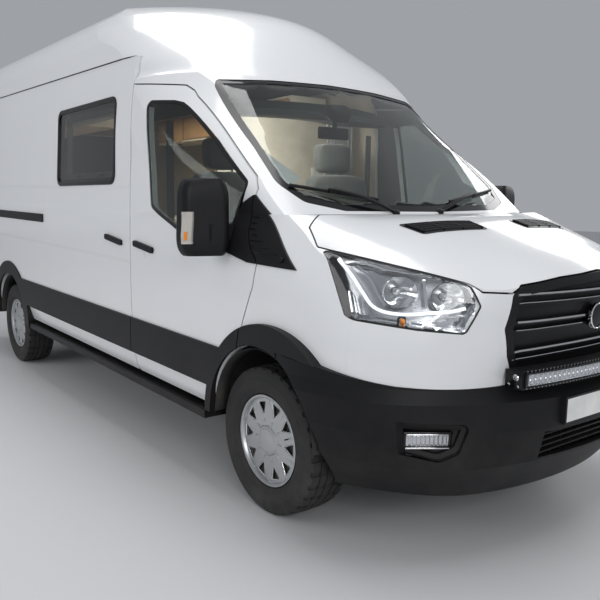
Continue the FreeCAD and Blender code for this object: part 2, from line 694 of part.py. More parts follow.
def bonnet_front(gap):
    """Front view of the bonnet, above the lamps and the grille."""
    edge = GRILLE_FACE_SHARES[:4] + (BONNET_BRIDGE_SHARES,) + LAMP_FACE_SHARES[2::-1]
    half = shares(edge, HALF_WIDTH, HEIGHT)
    over = half[-1][0] + PANEL_GAP
    pairs = half + [(over, LENGTH), (-over, LENGTH)] + [(-y, z) for y, z in half[:0:-1]]
    return front_prism(grown(pairs, gap), BONNET_BACK_X - OVERRUN, LENGTH)


def bonnet_plan(gap):
    half = shares(BONNET_BACK_SHARES, HALF_LENGTH, HALF_WIDTH)
    tip = half[-1]
    pairs = [(LENGTH, -tip[1]), (LENGTH, tip[1])] + half[::-1] + [(x, -y) for x, y in half[1:]]
    return plan_prism(grown(pairs, gap), SILL_Z, LENGTH)


def make_bonnet_rest():
    """Hinge block under the bonnet's back edge, on the underside of the cowl."""
    low = SHELF_Z - NOSE_WALL
    block = box(BONNET_BACK_X - BONNET_REST_LONG, BONNET_BACK_X + BONNET_REST_LONG, BONNET_REST_Y,
                BONNET_REST_Y + BONNET_REST_LONG, low - BONNET_REST_LONG, low + BONNET_REST_LONG)
    return block.common(nose_volume(NOSE_WALL + SEAT_GAP, low))


def make_wheel_cover(face):
    """A pressed cover: a flat star centre, radial ribs and small three-cornered windows in a dished disc."""
    profile = [
        (0, face), (COVER_HUB_RADIUS, face), (COVER_HUB_RADIUS + COVER_STEP, face - COVER_STEP),
        (COVER_RADIUS - COVER_STEP, face - COVER_DISH), (COVER_RADIUS - COVER_STEP, face),
        (COVER_RADIUS, face), (COVER_RADIUS, face - COVER_DEPTH), (0, face - COVER_DEPTH)]
    wire = Part.makePolygon([Vector(r, y, 0) for r, y in profile + profile[:1]])
    disc = Part.Face(wire).revolve(Vector(0, 0, 0), Vector(0, 1, 0), 360)
    cuts = []
    for i in range(COVER_WINDOWS):
        angle = 2 * math.pi * i / COVER_WINDOWS
        spread = math.pi / COVER_WINDOWS * COVER_WINDOW_SHARE
        inner = COVER_WINDOW_INNER
        outer = COVER_WINDOW_OUTER
        pts = []
        for r, a in ((inner, angle), (outer, angle - spread), (outer, angle + spread)):
            pts.append(Vector(r * math.cos(a), face - COVER_DEPTH - TINY, r * math.sin(a)))
        wire = rounded(pts, COVER_WINDOW_CORNER)
        cuts.append(Part.Face(wire).extrude(Vector(0, COVER_DEPTH + COVER_STEP, 0)))
    return disc.cut(Part.makeCompound(cuts))


def make_wheel(track):
    """Rim with a dropped centre, its disc and its cover, for the left side of the vehicle."""
    middle = track * HALF
    out = middle + RIM_WIDTH * HALF
    back = middle - RIM_WIDTH * HALF
    flange = RIM_RADIUS
    bed = RIM_RADIUS - RIM_WALL
    well = RIM_RADIUS - RIM_DROP
    face = track * HALF + COVER_FACE
    profile = [
        (well, middle), (well, out - RIM_DROP), (bed, out - RIM_WALL), (bed, out),
        (flange, out), (flange, back), (bed, back), (bed, back + RIM_WALL), (well, back + RIM_DROP)]
    wire = Part.makePolygon([Vector(r, y, 0) for r, y in profile + profile[:1]])
    rim = Part.Face(wire).revolve(Vector(0, 0, 0), Vector(0, 1, 0), 360)
    disc = tube(Vector(0, middle, 0), Vector(0, 1, 0), well + TINY, HUB_BORE, DISC_THICK)
    start = Vector(0, middle - HUB_LENGTH, 0)
    hub = tube(start, Vector(0, 1, 0), HUB_RADIUS, HUB_BORE, HUB_LENGTH + DISC_THICK)
    cover = make_wheel_cover(face)
    reach = face - COVER_DEPTH - middle
    post = tube(Vector(0, middle, 0), Vector(0, 1, 0), HUB_RADIUS, HUB_BORE, reach)
    wheel = rim.fuse([disc, hub, post, cover])
    return wheel


def make_tyre(track):
    """Tyre with bulged walls and bevelled shoulders."""
    middle = track * HALF
    half = TYRE_WIDTH * HALF
    foot = COVER_FACE - COVER_DEPTH - SEAT_GAP
    shoulder = TYRE_RADIUS - TYRE_SHOULDER
    tread = half - TYRE_SHOULDER * TYRE_LEAN
    side = [(RIM_RADIUS, foot), (COVER_RADIUS + SEAT_GAP, foot),
            ((RIM_RADIUS + shoulder) * HALF, half), (shoulder, tread),
            (TYRE_RADIUS, tread - TYRE_SHOULDER)]
    points = [Vector(r, middle + y, 0) for r, y in side]
    points += [Vector(r, middle - y, 0) for r, y in reversed(side)]
    face = Part.Face(Part.makePolygon(points + points[:1]))
    return face.revolve(Vector(0, 0, 0), Vector(0, 1, 0), 360)


def placed(shape, x, z):
    return shape.translated(Vector(x, 0, z))


def layer(volume, prism, sink, thick):
    """A sheet that follows the surface of a volume inside a prism. Both vectors point into the volume."""
    block = lone(volume.common(prism)).translated(sink)
    return lone(block.cut(block.translated(thick)))


def window_outline(grow):
    pairs = [(WINDOW_X - WINDOW_LONG * HALF, WINDOW_Z), (WINDOW_X + WINDOW_LONG * HALF, WINDOW_Z),
             (WINDOW_X + WINDOW_LONG * HALF, WINDOW_Z + WINDOW_TALL),
             (WINDOW_X - WINDOW_LONG * HALF, WINDOW_Z + WINDOW_TALL)]
    return grown([(x, raked(z, x)) for x, z in pairs], grow)


def rear_door_space(inner, grow):
    """The opening of one rear door, seen from behind."""
    low, high = REAR_DOOR_LOW, REAR_DOOR_HIGH
    pairs = [(inner, low), (REAR_DOOR_HALF, low), (REAR_DOOR_HALF, REAR_DOOR_WAIST),
             (REAR_DOOR_HALF - REAR_DOOR_LEAN, high), (inner, high)]
    pairs = grown(pairs, grow) if grow else pairs
    return front_prism(pairs, -LENGTH, BODY_BACK_X + WALL + TINY, [0, REAR_CORNER, 0, REAR_CORNER, 0])


def bumper_line_prism(shift):
    """The space below the line where the painted nose meets the bumper."""
    line = [(x, z + shift) for x, z in shares(BUMPER_LINE_SHARES, HALF_LENGTH, HEIGHT)]
    line += [(LENGTH, line[-1][1]), (LENGTH, -LENGTH), (line[0][0], -LENGTH)]
    return side_prism(line, -LENGTH, LENGTH)


def bumper_loft(depth):
    wires = []
    for level, row in zip(BUMPER_LEVEL_SHARES, BUMPER_PLAN_SHARES):
        pairs = inset([(HALF_LENGTH * x, HALF_WIDTH * y) for x, y in row], depth)
        z = HEIGHT * level
        left = [Vector(x, y, z) for x, y in pairs]
        left[-1] = Vector(left[-1].x, 0, z)
        both = left + flipped(left)[1:]
        wires.append(Part.Wire([spline(both)] + lines([both[-1], both[0]])))
    return Part.makeLoft(wires, True, True)


def make_front_bumper(arches):
    outer = bumper_loft(0)
    inner = bumper_loft(BUMPER_WALL)
    floor = BUMPER_WALL
    inner = inner.common(far_box(z0=HEIGHT * BUMPER_LEVEL_SHARES[0] + floor))
    shell = outer.cut(inner).common(bumper_line_prism(-SEAT_GAP)).cut(arches)
    intake = box(HALF_LENGTH - BUMPER_DEEP, LENGTH, -INTAKE_HALF, INTAKE_HALF, INTAKE_LOW, INTAKE_HIGH)
    fog_left = front_prism(shares(FOG_FACE_SHARES, HALF_WIDTH, HEIGHT), FOG_BACK_X, LENGTH, FOG_CORNER)
    shell = shell.cut(intake).cut(fog_left).cut(mirrored(fog_left))
    return shell


def make_grille():
    ring = grille_prism(-SEAT_GAP).cut(grille_prism(-GRILLE_FRAME))
    solid = nose_volume(0, SHELF_Z).cut(nose_volume(GRILLE_DEEP, SHELF_Z))
    frame = ring.common(solid)
    inner = grille_prism(-GRILLE_FRAME + GRILLE_LAP)
    band = nose_volume(GRILLE_BAR_SINK, SHELF_Z).cut(nose_volume(GRILLE_BAR_SINK + GRILLE_BAR_DEEP, SHELF_Z))
    band = band.common(inner)
    bars = []
    for share in GRILLE_BAR_SHARES:
        for step in (-HALF, HALF):
            z = HEIGHT * share + step * GRILLE_BAR_PITCH
            bars.append(far_box(x0=0, z0=z - GRILLE_BAR * HALF, z1=z + GRILLE_BAR * HALF))
    bars = band.common(Part.makeCompound(bars))
    back = nose_volume(GRILLE_DEEP - NOSE_WALL, SHELF_Z).cut(nose_volume(GRILLE_DEEP, SHELF_Z))
    back = back.common(inner)
    return frame.fuse([back, bars])


def nodes_of_body():
    nodes = {}
    outer = body_volume()
    inner = inner_volume()
    bay = nose_volume(NOSE_WALL, SHELF_Z - NOSE_WALL)
    bay = lone(bay.common(far_box(x0=FIREWALL_X)))
    arches = arch_cut(FRONT_ARCH_X, ARCH_RADIUS).fuse(arch_cut(AXLE_R, ARCH_RADIUS))
    shell = lone(lone(outer.cut(inner)).cut(bay)).cut(arches)
    left = lone(shell.common(far_box(y0=0)))
    left_inner = lone(inner.fuse(bay).common(far_box(y0=-TINY)))

    door_prism = side_prism(door_outline(0), 0, LENGTH)
    door_gap = side_prism(door_outline(PANEL_GAP), 0, LENGTH)
    glass_pairs = shares(DOOR_GLASS_SHARES, HALF_LENGTH, HEIGHT)
    window = side_prism(glass_pairs, 0, LENGTH, DOOR_GLASS_CORNER)
    cab_zone = left.common(far_box(x0=CAB_BACK_X))
    door = cab_zone.common(door_prism).cut(window)
    rebate = body_prism(CAB_BACK_X - PANEL_GAP, CAB_BACK_X + DOOR_REBATE, DOOR_LIP)
    nodes["cab_door_left"] = lone(door.cut(rebate))
    pane = side_prism(grown(glass_pairs, -SEAT_GAP), HALF_WIDTH * HALF, LENGTH, DOOR_GLASS_CORNER)
    nodes["cab_glass_left"] = layer(glass_sides(), pane, Vector(0, -GLASS_SINK, 0), Vector(0, -GLASS, 0))

    box_end = CAB_BACK_X - PANEL_GAP * HALF
    body = body_prism(BODY_BACK_X, box_end, 0).cut(body_prism(BODY_BACK_X + WALL, box_end + OVERRUN, WALL))
    body = body.common(far_box(y0=0)).cut(arches)
    above = gutter_plane(0)
    roof = left.common(far_box(x1=CAB_BACK_X)).common(above)
    body = body.cut(above)
    rear_open = rear_door_space(DOOR_CENTRE_GAP * HALF, 0)
    rear_gap = rear_door_space(-OVERRUN, PANEL_GAP)
    roof = roof.cut(rear_gap)
    nodes["rear_door_left"] = left.common(far_box(x1=REAR_BOX_X)).common(rear_open)
    body = body.cut(rear_gap)
    nodes["side_wall_left"] = body
    slide = side_prism(slide_outline(0), 0, LENGTH)
    slide_gap = side_prism(slide_outline(SEAT_GAP), 0, LENGTH)
    hole = side_prism(window_outline(0), 0, LENGTH, WINDOW_CORNER)
    nodes["sliding_door_right"] = mirrored(body.common(slide).cut(hole))
    nodes["side_wall_right"] = mirrored(body.cut(slide_gap))
    nodes["roof_panel"] = roof.fuse(mirrored(roof))

    cab = cab_zone.common(far_box(z0=SHELF_Z)).cut(door_gap).cut(windscreen_outline(SEAT_GAP))
    nodes["cab_shell"] = cab.fuse(mirrored(cab))
    nodes["windscreen"] = layer(outer, windscreen_outline(0), Vector(-GLASS_SINK, 0, 0), Vector(-GLASS, 0, 0))

    nose = cab_zone.common(far_box(z1=SHELF_Z)).cut(door_gap).cut(bumper_line_prism(0))
    lid = nose.common(bonnet_front(-PANEL_GAP)).common(bonnet_plan(0))
    nodes["bonnet"] = lid.fuse(mirrored(lid))
    rest = nose.cut(bonnet_front(0).common(bonnet_plan(PANEL_GAP)))
    rest = rest.cut(lamp_prism(SEAT_GAP)).cut(grille_prism(SEAT_GAP))
    cowl = far_box(x1=BONNET_BACK_X + OVERRUN, y1=COWL_HALF, z0=COWL_Z)
    ledge = rest.common(cowl)
    rest_block = make_bonnet_rest()
    nodes["cowl_panel"] = lone(ledge.fuse([mirrored(ledge), rest_block, mirrored(rest_block)]))
    rest = rest.cut(cowl)
    wing = rest.common(far_box(x1=WING_SPLIT_X))
    nodes["front_wings"] = Part.makeCompound([wing, mirrored(wing)])
    front = rest.common(far_box(x0=WING_SPLIT_X + SEAT_GAP))
    front = max(front.Solids, key=lambda solid: solid.Volume)
    nodes["front_panel"] = Part.makeCompound([front, mirrored(front)])
    nodes["front_bumper"] = make_front_bumper([arches, mirrored(arches)])
    nodes["grille"] = make_grille()
    lamp = nose_volume(LAMP_SINK, SHELF_Z).cut(nose_volume(LAMP_SINK + LAMP_DEEP, SHELF_Z))
    lamp = lamp.common(lamp_prism(0))
    nodes["headlamps"] = Part.makeCompound([lamp, mirrored(lamp)])
    return nodes, outer, left_inner, arches


def shell_trim(prism, volume):
    """Trim that stands proud of the body side and seats on it."""
    return prism.common(far_box(y0=TRIM_IN, y1=TRIM_OUT)).cut(volume)


def make_mouldings(outer, arches):
    low = [(x, raked(BAND_LOW, x)) for x in (BAND_BACK_X, BUMPER_BACK_X)]
    high = [(x, raked(BAND_HIGH, x)) for x in (BUMPER_BACK_X, BAND_BACK_X)]
    band = side_prism(low + high, 0, LENGTH)
    front, rear = [Part.makeCylinder(FLARE_RADIUS, LENGTH, Vector(x, 0, ARCH_Z), Vector(0, 1, 0))
                   for x in (FRONT_ARCH_X + FLARE_SHIFT, AXLE_R)]
    rings = front.fuse(rear).common(far_box(z0=TRIM_FOOT))
    whole = band.fuse(rings).cut(arches)
    whole = whole.cut(bumper_line_prism(0).common(far_box(x0=BUMPER_BACK_X - SEAT_GAP)))
    whole = whole.cut(far_box(y1=HALF_WIDTH - WALL, z1=SILL_Z + WALL))
    return shell_trim(whole, outer)


def make_mirror():
    """Mirror housing: a drawn-in foot and crown on a body that is swept back towards its outer end."""
    outer = MIRROR_SPAN * HALF
    middle_y = outer - MIRROR_WIDE * HALF
    middle_x = MIRROR_X - (MIRROR_SWEEP + MIRROR_DEEP) * HALF
    wires = []
    for level, size in MIRROR_LEVEL_SHARES:
        z = MIRROR_LOW + (MIRROR_HIGH - MIRROR_LOW) * level
        half_y = MIRROR_WIDE * HALF * size
        half_x = MIRROR_DEEP * HALF * size
        lean = MIRROR_SWEEP * HALF
        points = [Vector(middle_x + lean + half_x, middle_y - half_y, z),
                  Vector(middle_x - lean + half_x, middle_y + half_y, z),
                  Vector(middle_x - lean - half_x, middle_y + half_y, z),
                  Vector(middle_x + lean - half_x, middle_y - half_y, z)]
        wires.append(rounded(points, MIRROR_CORNER))
    return Part.makeLoft(wires, True, False)


def corner_plate(outer):
    """Thin plate over the window's front corner and the foot of the screen pillar."""
    prism = side_prism(shares(CORNER_PLATE_SHARES, HALF_LENGTH, HEIGHT), TRIM_IN, LENGTH)
    return outer.translated(Vector(0, PLATE_PROUD, 0)).common(prism).cut(outer)


def make_mirror_arm(outer):
    """Short arm from the corner plate into the housing."""
    front = MIRROR_X - MIRROR_ARM_LONG * HALF
    out = MIRROR_SPAN * HALF - MIRROR_WIDE * HALF
    arm = box(front - MIRROR_ARM_LONG, front, TRIM_IN, out, MIRROR_ARM_LOW, MIRROR_ARM_LOW + MIRROR_ARM_TALL)
    return arm.cut(outer)


def make_handle(outer, x, z):
    """A pull handle whose front end hangs a little lower."""
    half = HANDLE_LONG * HALF
    drop = HANDLE_LONG * HANDLE_DROP_SHARE * HALF
    tall = HANDLE_TALL * HALF
    pairs = [(x - half, z + drop - tall), (x + half, z - drop - tall),
             (x + half, z - drop + tall), (x - half, z + drop + tall)]
    block = side_prism(pairs, TRIM_IN, HALF_WIDTH + HANDLE_PROUD * HALF, HANDLE_CORNER)
    return block.cut(outer)


def make_wheel_houses(left_inner):
    """Open boxes over the wheels, round above and flat towards the middle of the vehicle."""
    houses = []
    for x, inner in ((FRONT_ARCH_X, FRONT_HOUSE_IN), (AXLE_R, REAR_HOUSE_IN)):
        centre = Vector(x, inner, ARCH_Z)
        far = HALF_WIDTH - inner
        outer = Part.makeCylinder(HOUSE_RADIUS + WHEELHOUSE_WALL, far, centre, Vector(0, 1, 0))
        hole = Part.makeCylinder(HOUSE_RADIUS, far, centre + Vector(0, WHEELHOUSE_WALL, 0), Vector(0, 1, 0))
        houses.append(outer.cut(hole).common(far_box(z0=ARCH_Z)).common(left_inner))
    slot = box(AXLE_F - ARM_HALF - PANEL_GAP, AXLE_F + ARM_HALF + PANEL_GAP, 0, KING_Y, 0,
               KNUCKLE_HIGH + ARM_THICK * HALF + PANEL_GAP)
    return [house.cut(slot) for house in houses]


def house_space(shift):
    """The room that the front wheel houses take up, grown by a clearance."""
    inner = FRONT_HOUSE_IN - shift
    start = Vector(FRONT_ARCH_X, inner, ARCH_Z)
    radius = HOUSE_RADIUS + WHEELHOUSE_WALL + shift
    return Part.makeCylinder(radius, HALF_WIDTH - inner, start, Vector(0, 1, 0))


def make_floor(left_inner, houses):
    slab = left_inner.common(far_box(x1=FIREWALL_X, z0=FLOOR_Z, z1=FLOOR_Z + FLOOR_THICK))
    clear = far_box(x0=CAB_BACK_X - PANEL_GAP, y0=HALF_WIDTH - WALL - PANEL_GAP * 4)
    slab = slab.cut(clear)
    for x, inner in ((FRONT_ARCH_X, FRONT_HOUSE_IN), (AXLE_R, REAR_HOUSE_IN)):
        slab = slab.cut(Part.makeCylinder(HOUSE_RADIUS, LENGTH, Vector(x, inner, ARCH_Z), Vector(0, 1, 0)))
    top = FLOOR_Z + FLOOR_THICK
    firewall = box(FIREWALL_X - FIREWALL_THICK, FIREWALL_X, -TINY, DASH_HALF, top, SHELF_Z - NOSE_WALL)
    firewall = firewall.cut(house_space(-WHEELHOUSE_WALL)).common(left_inner)
    half = slab.fuse(houses + [firewall])
    return lone(half.fuse(mirrored(half)))


def make_underbody():
    rail = box(CHASSIS_BACK_X, CHASSIS_FRONT_X, RAIL_IN, RAIL_OUT, CHASSIS_LOW, FLOOR_Z)
    parts = [rail, mirrored(rail)]
    for share in CROSS_MEMBER_SHARES:
        x = HALF_LENGTH * share
        parts.append(box(x, x + SPRING_WIDE, -RAIL_IN, RAIL_IN, CHASSIS_LOW + ARM_THICK, FLOOR_Z))
    tank = box(-RAIL_OUT, RAIL_OUT + RAIL_IN * HALF, -RAIL_IN + ARM_THICK, RAIL_IN - ARM_THICK, TANK_LOW,
               CHASSIS_LOW + ARM_THICK)
    parts.append(tank)
    middle = ENGINE_BACK_X + (ENGINE_LONG - SPRING_WIDE) * HALF
    parts.append(box(middle, middle + SPRING_WIDE, -RAIL_IN, RAIL_IN, ENGINE_LOW - BEARER_TALL, ENGINE_LOW))
    return lone(parts[0].fuse(parts[1:]))


def make_steps():
    low = [(x, raked(STEP_LOW, x)) for x in (STEP_BACK_X, STEP_FRONT_X)]
    high = [(x, raked(STEP_HIGH, x)) for x in (STEP_FRONT_X, STEP_BACK_X)]
    board = side_prism(low + high, STEP_IN, HALF_WIDTH)
    arms = []
    for i in range(STEP_BRACKETS):
        share = (i + HALF) / STEP_BRACKETS
        x = STEP_BACK_X + (STEP_FRONT_X - STEP_BACK_X) * share
        low_z = raked(STEP_LOW, x)
        arms.append(box(x, x + STEP_BRACKET, RAIL_IN, STEP_IN + TINY, low_z, low_z + STEP_BRACKET * HALF))
        arms.append(box(x, x + STEP_BRACKET, RAIL_IN, RAIL_OUT, low_z, CHASSIS_LOW))
    half = board.fuse(arms)
    return Part.makeCompound([half, mirrored(half)])


def make_subframe():
    beam = box(AXLE_F - SUBFRAME_HALF_X, AXLE_F + SUBFRAME_HALF_X, -RAIL_OUT, RAIL_OUT,
               SUBFRAME_LOW, CHASSIS_LOW)
    arms = []
    for z0, z1 in ((KNUCKLE_LOW - ARM_THICK, KNUCKLE_LOW), (KNUCKLE_HIGH, KNUCKLE_HIGH + ARM_THICK * HALF)):
        arm = box(AXLE_F - ARM_HALF, AXLE_F + ARM_HALF, RAIL_OUT - TINY, KING_Y, z0, z1)
        end = Part.makeCylinder(ARM_HALF, z1 - z0, Vector(AXLE_F, KING_Y, z0))
        whole = arm.fuse(end)
        arms += [whole, mirrored(whole)]
    return beam.fuse(arms)


def make_knuckle():
    y1 = FRONT_TRACK * HALF - HUB_LENGTH - PANEL_GAP
    block = box(AXLE_F - KNUCKLE_HALF, AXLE_F + KNUCKLE_HALF, KING_Y - KNUCKLE_HALF, y1,
                KNUCKLE_LOW + SEAT_GAP, KNUCKLE_HIGH - SEAT_GAP)
    stub = Part.makeCylinder(HUB_BORE - SEAT_GAP, FRONT_TRACK * HALF + STUB_REACH - y1,
                             Vector(AXLE_F, y1, TYRE_RADIUS), Vector(0, 1, 0))
    return block.fuse(stub)


def make_rear_axle():
    half = REAR_TRACK * HALF
    tube_half = half - HUB_LENGTH - PANEL_GAP
    start = Vector(AXLE_R, -tube_half, TYRE_RADIUS)
    parts = [Part.makeCylinder(AXLE_TUBE, tube_half + tube_half, start, Vector(0, 1, 0))]
    reach = half + STUB_REACH
    parts.append(Part.makeCylinder(HUB_BORE - SEAT_GAP, 2 * reach, Vector(AXLE_R, -reach, TYRE_RADIUS),
                                   Vector(0, 1, 0)))
    parts.append(Part.makeSphere(DIFF_RADIUS, Vector(AXLE_R, 0, TYRE_RADIUS)))
    seat = TYRE_RADIUS + AXLE_TUBE
    middle = (RAIL_IN + RAIL_OUT) * HALF
    for sign in (1, -1):
        y0 = sign * middle - SPRING_WIDE * HALF
        y1 = sign * middle + SPRING_WIDE * HALF
        leaf = box(AXLE_R - SPRING_HALF, AXLE_R + SPRING_HALF, y0, y1, seat - TINY, seat + SPRING_THICK)
        parts.append(leaf)
        for end in (-SPRING_HALF, SPRING_HALF - SPRING_WIDE):
            parts.append(box(AXLE_R + end, AXLE_R + end + SPRING_WIDE, y0, y1, seat, CHASSIS_LOW))
    return parts[0].fuse(parts[1:])


def make_rear_bumper(outer):
    back = -HALF_LENGTH
    pairs = [(back, -HALF_WIDTH + BUMPER_STEP), (back, HALF_WIDTH - BUMPER_STEP),
             (back + REAR_BUMPER_LONG, HALF_WIDTH), (back + REAR_BUMPER_LONG, -HALF_WIDTH)]
    block = plan_prism(pairs, REAR_BUMPER_LOW, REAR_BUMPER_HIGH, BUMPER_STEP)
    hollow = box(BODY_BACK_X, LENGTH, -HALF_WIDTH + BUMPER_STEP, HALF_WIDTH - BUMPER_STEP, 0, HEIGHT)
    stay = box(BODY_BACK_X - TINY, CHASSIS_BACK_X, RAIL_IN, RAIL_OUT,
               CHASSIS_LOW - ARM_THICK, REAR_BUMPER_HIGH)
    stay = stay.cut(outer)
    return block.cut(hollow).cut(outer).fuse([stay, mirrored(stay)])


def make_rear_lamps(outer):
    inner = REAR_DOOR_HALF + PANEL_GAP + PANEL_GAP
    lamp = box(BODY_BACK_X - REAR_LAMP_DEEP, BODY_BACK_X, inner, inner + REAR_LAMP_WIDE, REAR_LAMP_LOW,
               REAR_LAMP_HIGH)
    lamp = lamp.cut(outer)
    return Part.makeCompound([lamp, mirrored(lamp)])


def make_light_bar():
    front = HALF_LENGTH
    back = front - LIGHT_BAR_DEEP
    top = [Vector(front - LIGHT_BAR_BOW, -LIGHT_BAR_HALF, LIGHT_BAR_LOW), Vector(front, 0, LIGHT_BAR_LOW),
           Vector(front - LIGHT_BAR_BOW, LIGHT_BAR_HALF, LIGHT_BAR_LOW)]
    rear = [p - Vector(LIGHT_BAR_DEEP, 0, 0) for p in top]
    wire = Part.Wire([Part.Arc(*top).toShape()] + lines([top[2], rear[2]]) +
                     [Part.Arc(*rear[::-1]).toShape()] + lines([rear[0], top[0]]))
    bar = Part.Face(wire).extrude(Vector(0, 0, LIGHT_BAR_HIGH - LIGHT_BAR_LOW))
    low = HEIGHT * BUMPER_LINE_SHARES[-1][-1]
    foot = box(back - LIGHT_BAR_DEEP, back, LIGHT_BAR_HALF * HALF, LIGHT_BAR_HALF * HALF + SPRING_WIDE,
               low, LIGHT_BAR_LOW + LIGHT_BAR_DEEP * HALF * HALF)
    foot = foot.cut(bumper_line_prism(0))
    return lone(bar.fuse([foot, mirrored(foot)]))


def make_plate(bumper):
    """Blank number plate on its holder, which stands on the bumper."""
    plate = box(HALF_LENGTH - PLATE_DEEP, HALF_LENGTH - PLATE_SET_BACK, -PLATE_HALF, PLATE_HALF, PLATE_LOW,
                PLATE_HIGH)
    return lone(plate.cut(bumper))


def make_dashboard():
    pairs = shares(DASH_SHARES, HALF_LENGTH, HEIGHT)
    body = side_prism(pairs, -DASH_HALF, DASH_HALF, GRILLE_FRAME)
    room = house_space(SEAT_GAP)
    return body.cut(room).cut(mirrored(room))


def make_steering_wheel():
    ring = Part.makeTorus(STEERING_RADIUS, STEERING_GRIP)
    hub = Part.makeCylinder(STEERING_RADIUS * HALF * HALF, STEERING_GRIP * 2, Vector(0, 0, -STEERING_GRIP))
    bar = Part.makeBox(2 * STEERING_RADIUS, STEERING_GRIP * 2, STEERING_GRIP,
                       Vector(-STEERING_RADIUS, -STEERING_GRIP, -STEERING_GRIP * HALF))
    column = Part.makeCylinder(STEERING_GRIP * 2, STEERING_RADIUS, Vector(0, 0, 0), Vector(0, 0, -1))
    whole = ring.fuse([hub, bar, column])
    whole.rotate(Vector(0, 0, 0), Vector(0, 0, 1), 90)
    whole.rotate(Vector(0, 0, 0), Vector(0, 1, 0), -90 + STEERING_LEAN)
    return whole.translated(Vector(WHEEL_X, WHEEL_Y, WHEEL_Z))


def make_seats():
    frames, soft = [], []
    floor = FLOOR_Z + FLOOR_THICK
    for y in (-SEAT_Y, SEAT_Y):
        y0, y1 = y - SEAT_WIDE * HALF, y + SEAT_WIDE * HALF
        frames.append(box(SEAT_X - SEAT_LONG * HALF, SEAT_X + SEAT_LONG * HALF, y0 + CUSHION_TALL * HALF,
                          y1 - CUSHION_TALL * HALF, floor, floor + SEAT_BOX_TALL))
        z = floor + SEAT_BOX_TALL + SEAT_GAP
        soft.append(box(SEAT_X - SEAT_LONG * HALF, SEAT_X + SEAT_LONG * HALF, y0, y1, z, z + CUSHION_TALL))
        z += CUSHION_TALL + SEAT_GAP
        x = SEAT_X - SEAT_LONG * HALF
        soft.append(box(x - BACKREST_THICK * HALF, x + BACKREST_THICK * HALF, y0, y1, z, z + BACKREST_TALL))
        z += BACKREST_TALL + SEAT_GAP
        soft.append(box(x - BACKREST_THICK * HALF, x + BACKREST_THICK * HALF, y - HEADREST_WIDE * HALF,
                        y + HEADREST_WIDE * HALF, z, z + HEADREST_TALL))
    return Part.makeCompound(frames), soft


def make_furniture(left_inner):
    """Kitchen cabinet and bed. Both stand against the walls below, and their tops stay clear of them."""
    floor = FLOOR_Z + FLOOR_THICK
    space = left_inner.fuse(mirrored(left_inner)).common(far_box(x1=CAB_BACK_X - PANEL_GAP))
    top = floor + CABINET_TALL
    cabinet = space.common(far_box(x0=CABINET_BACK_X, x1=CABINET_FRONT_X, y0=HALF_WIDTH - WALL - CABINET_DEEP,
                                   z0=floor, z1=top))
    cabinet = cabinet.cut(far_box(y0=TOP_EDGE_Y, z0=top - WORKTOP_THICK))
    back = BODY_BACK_X + WALL + PANEL_GAP + PANEL_GAP
    bed = space.common(far_box(x0=back, x1=BED_FRONT_X, z0=BED_Z - BED_THICK, z1=BED_Z + BED_THICK))
    bed = bed.cut(far_box(y0=TOP_EDGE_Y, z0=BED_Z)).cut(far_box(y1=-TOP_EDGE_Y, z0=BED_Z))
    bed = bed.cut(far_box(y0=-BED_BEARER_Y, y1=BED_BEARER_Y, z1=BED_Z))
    return cabinet, bed


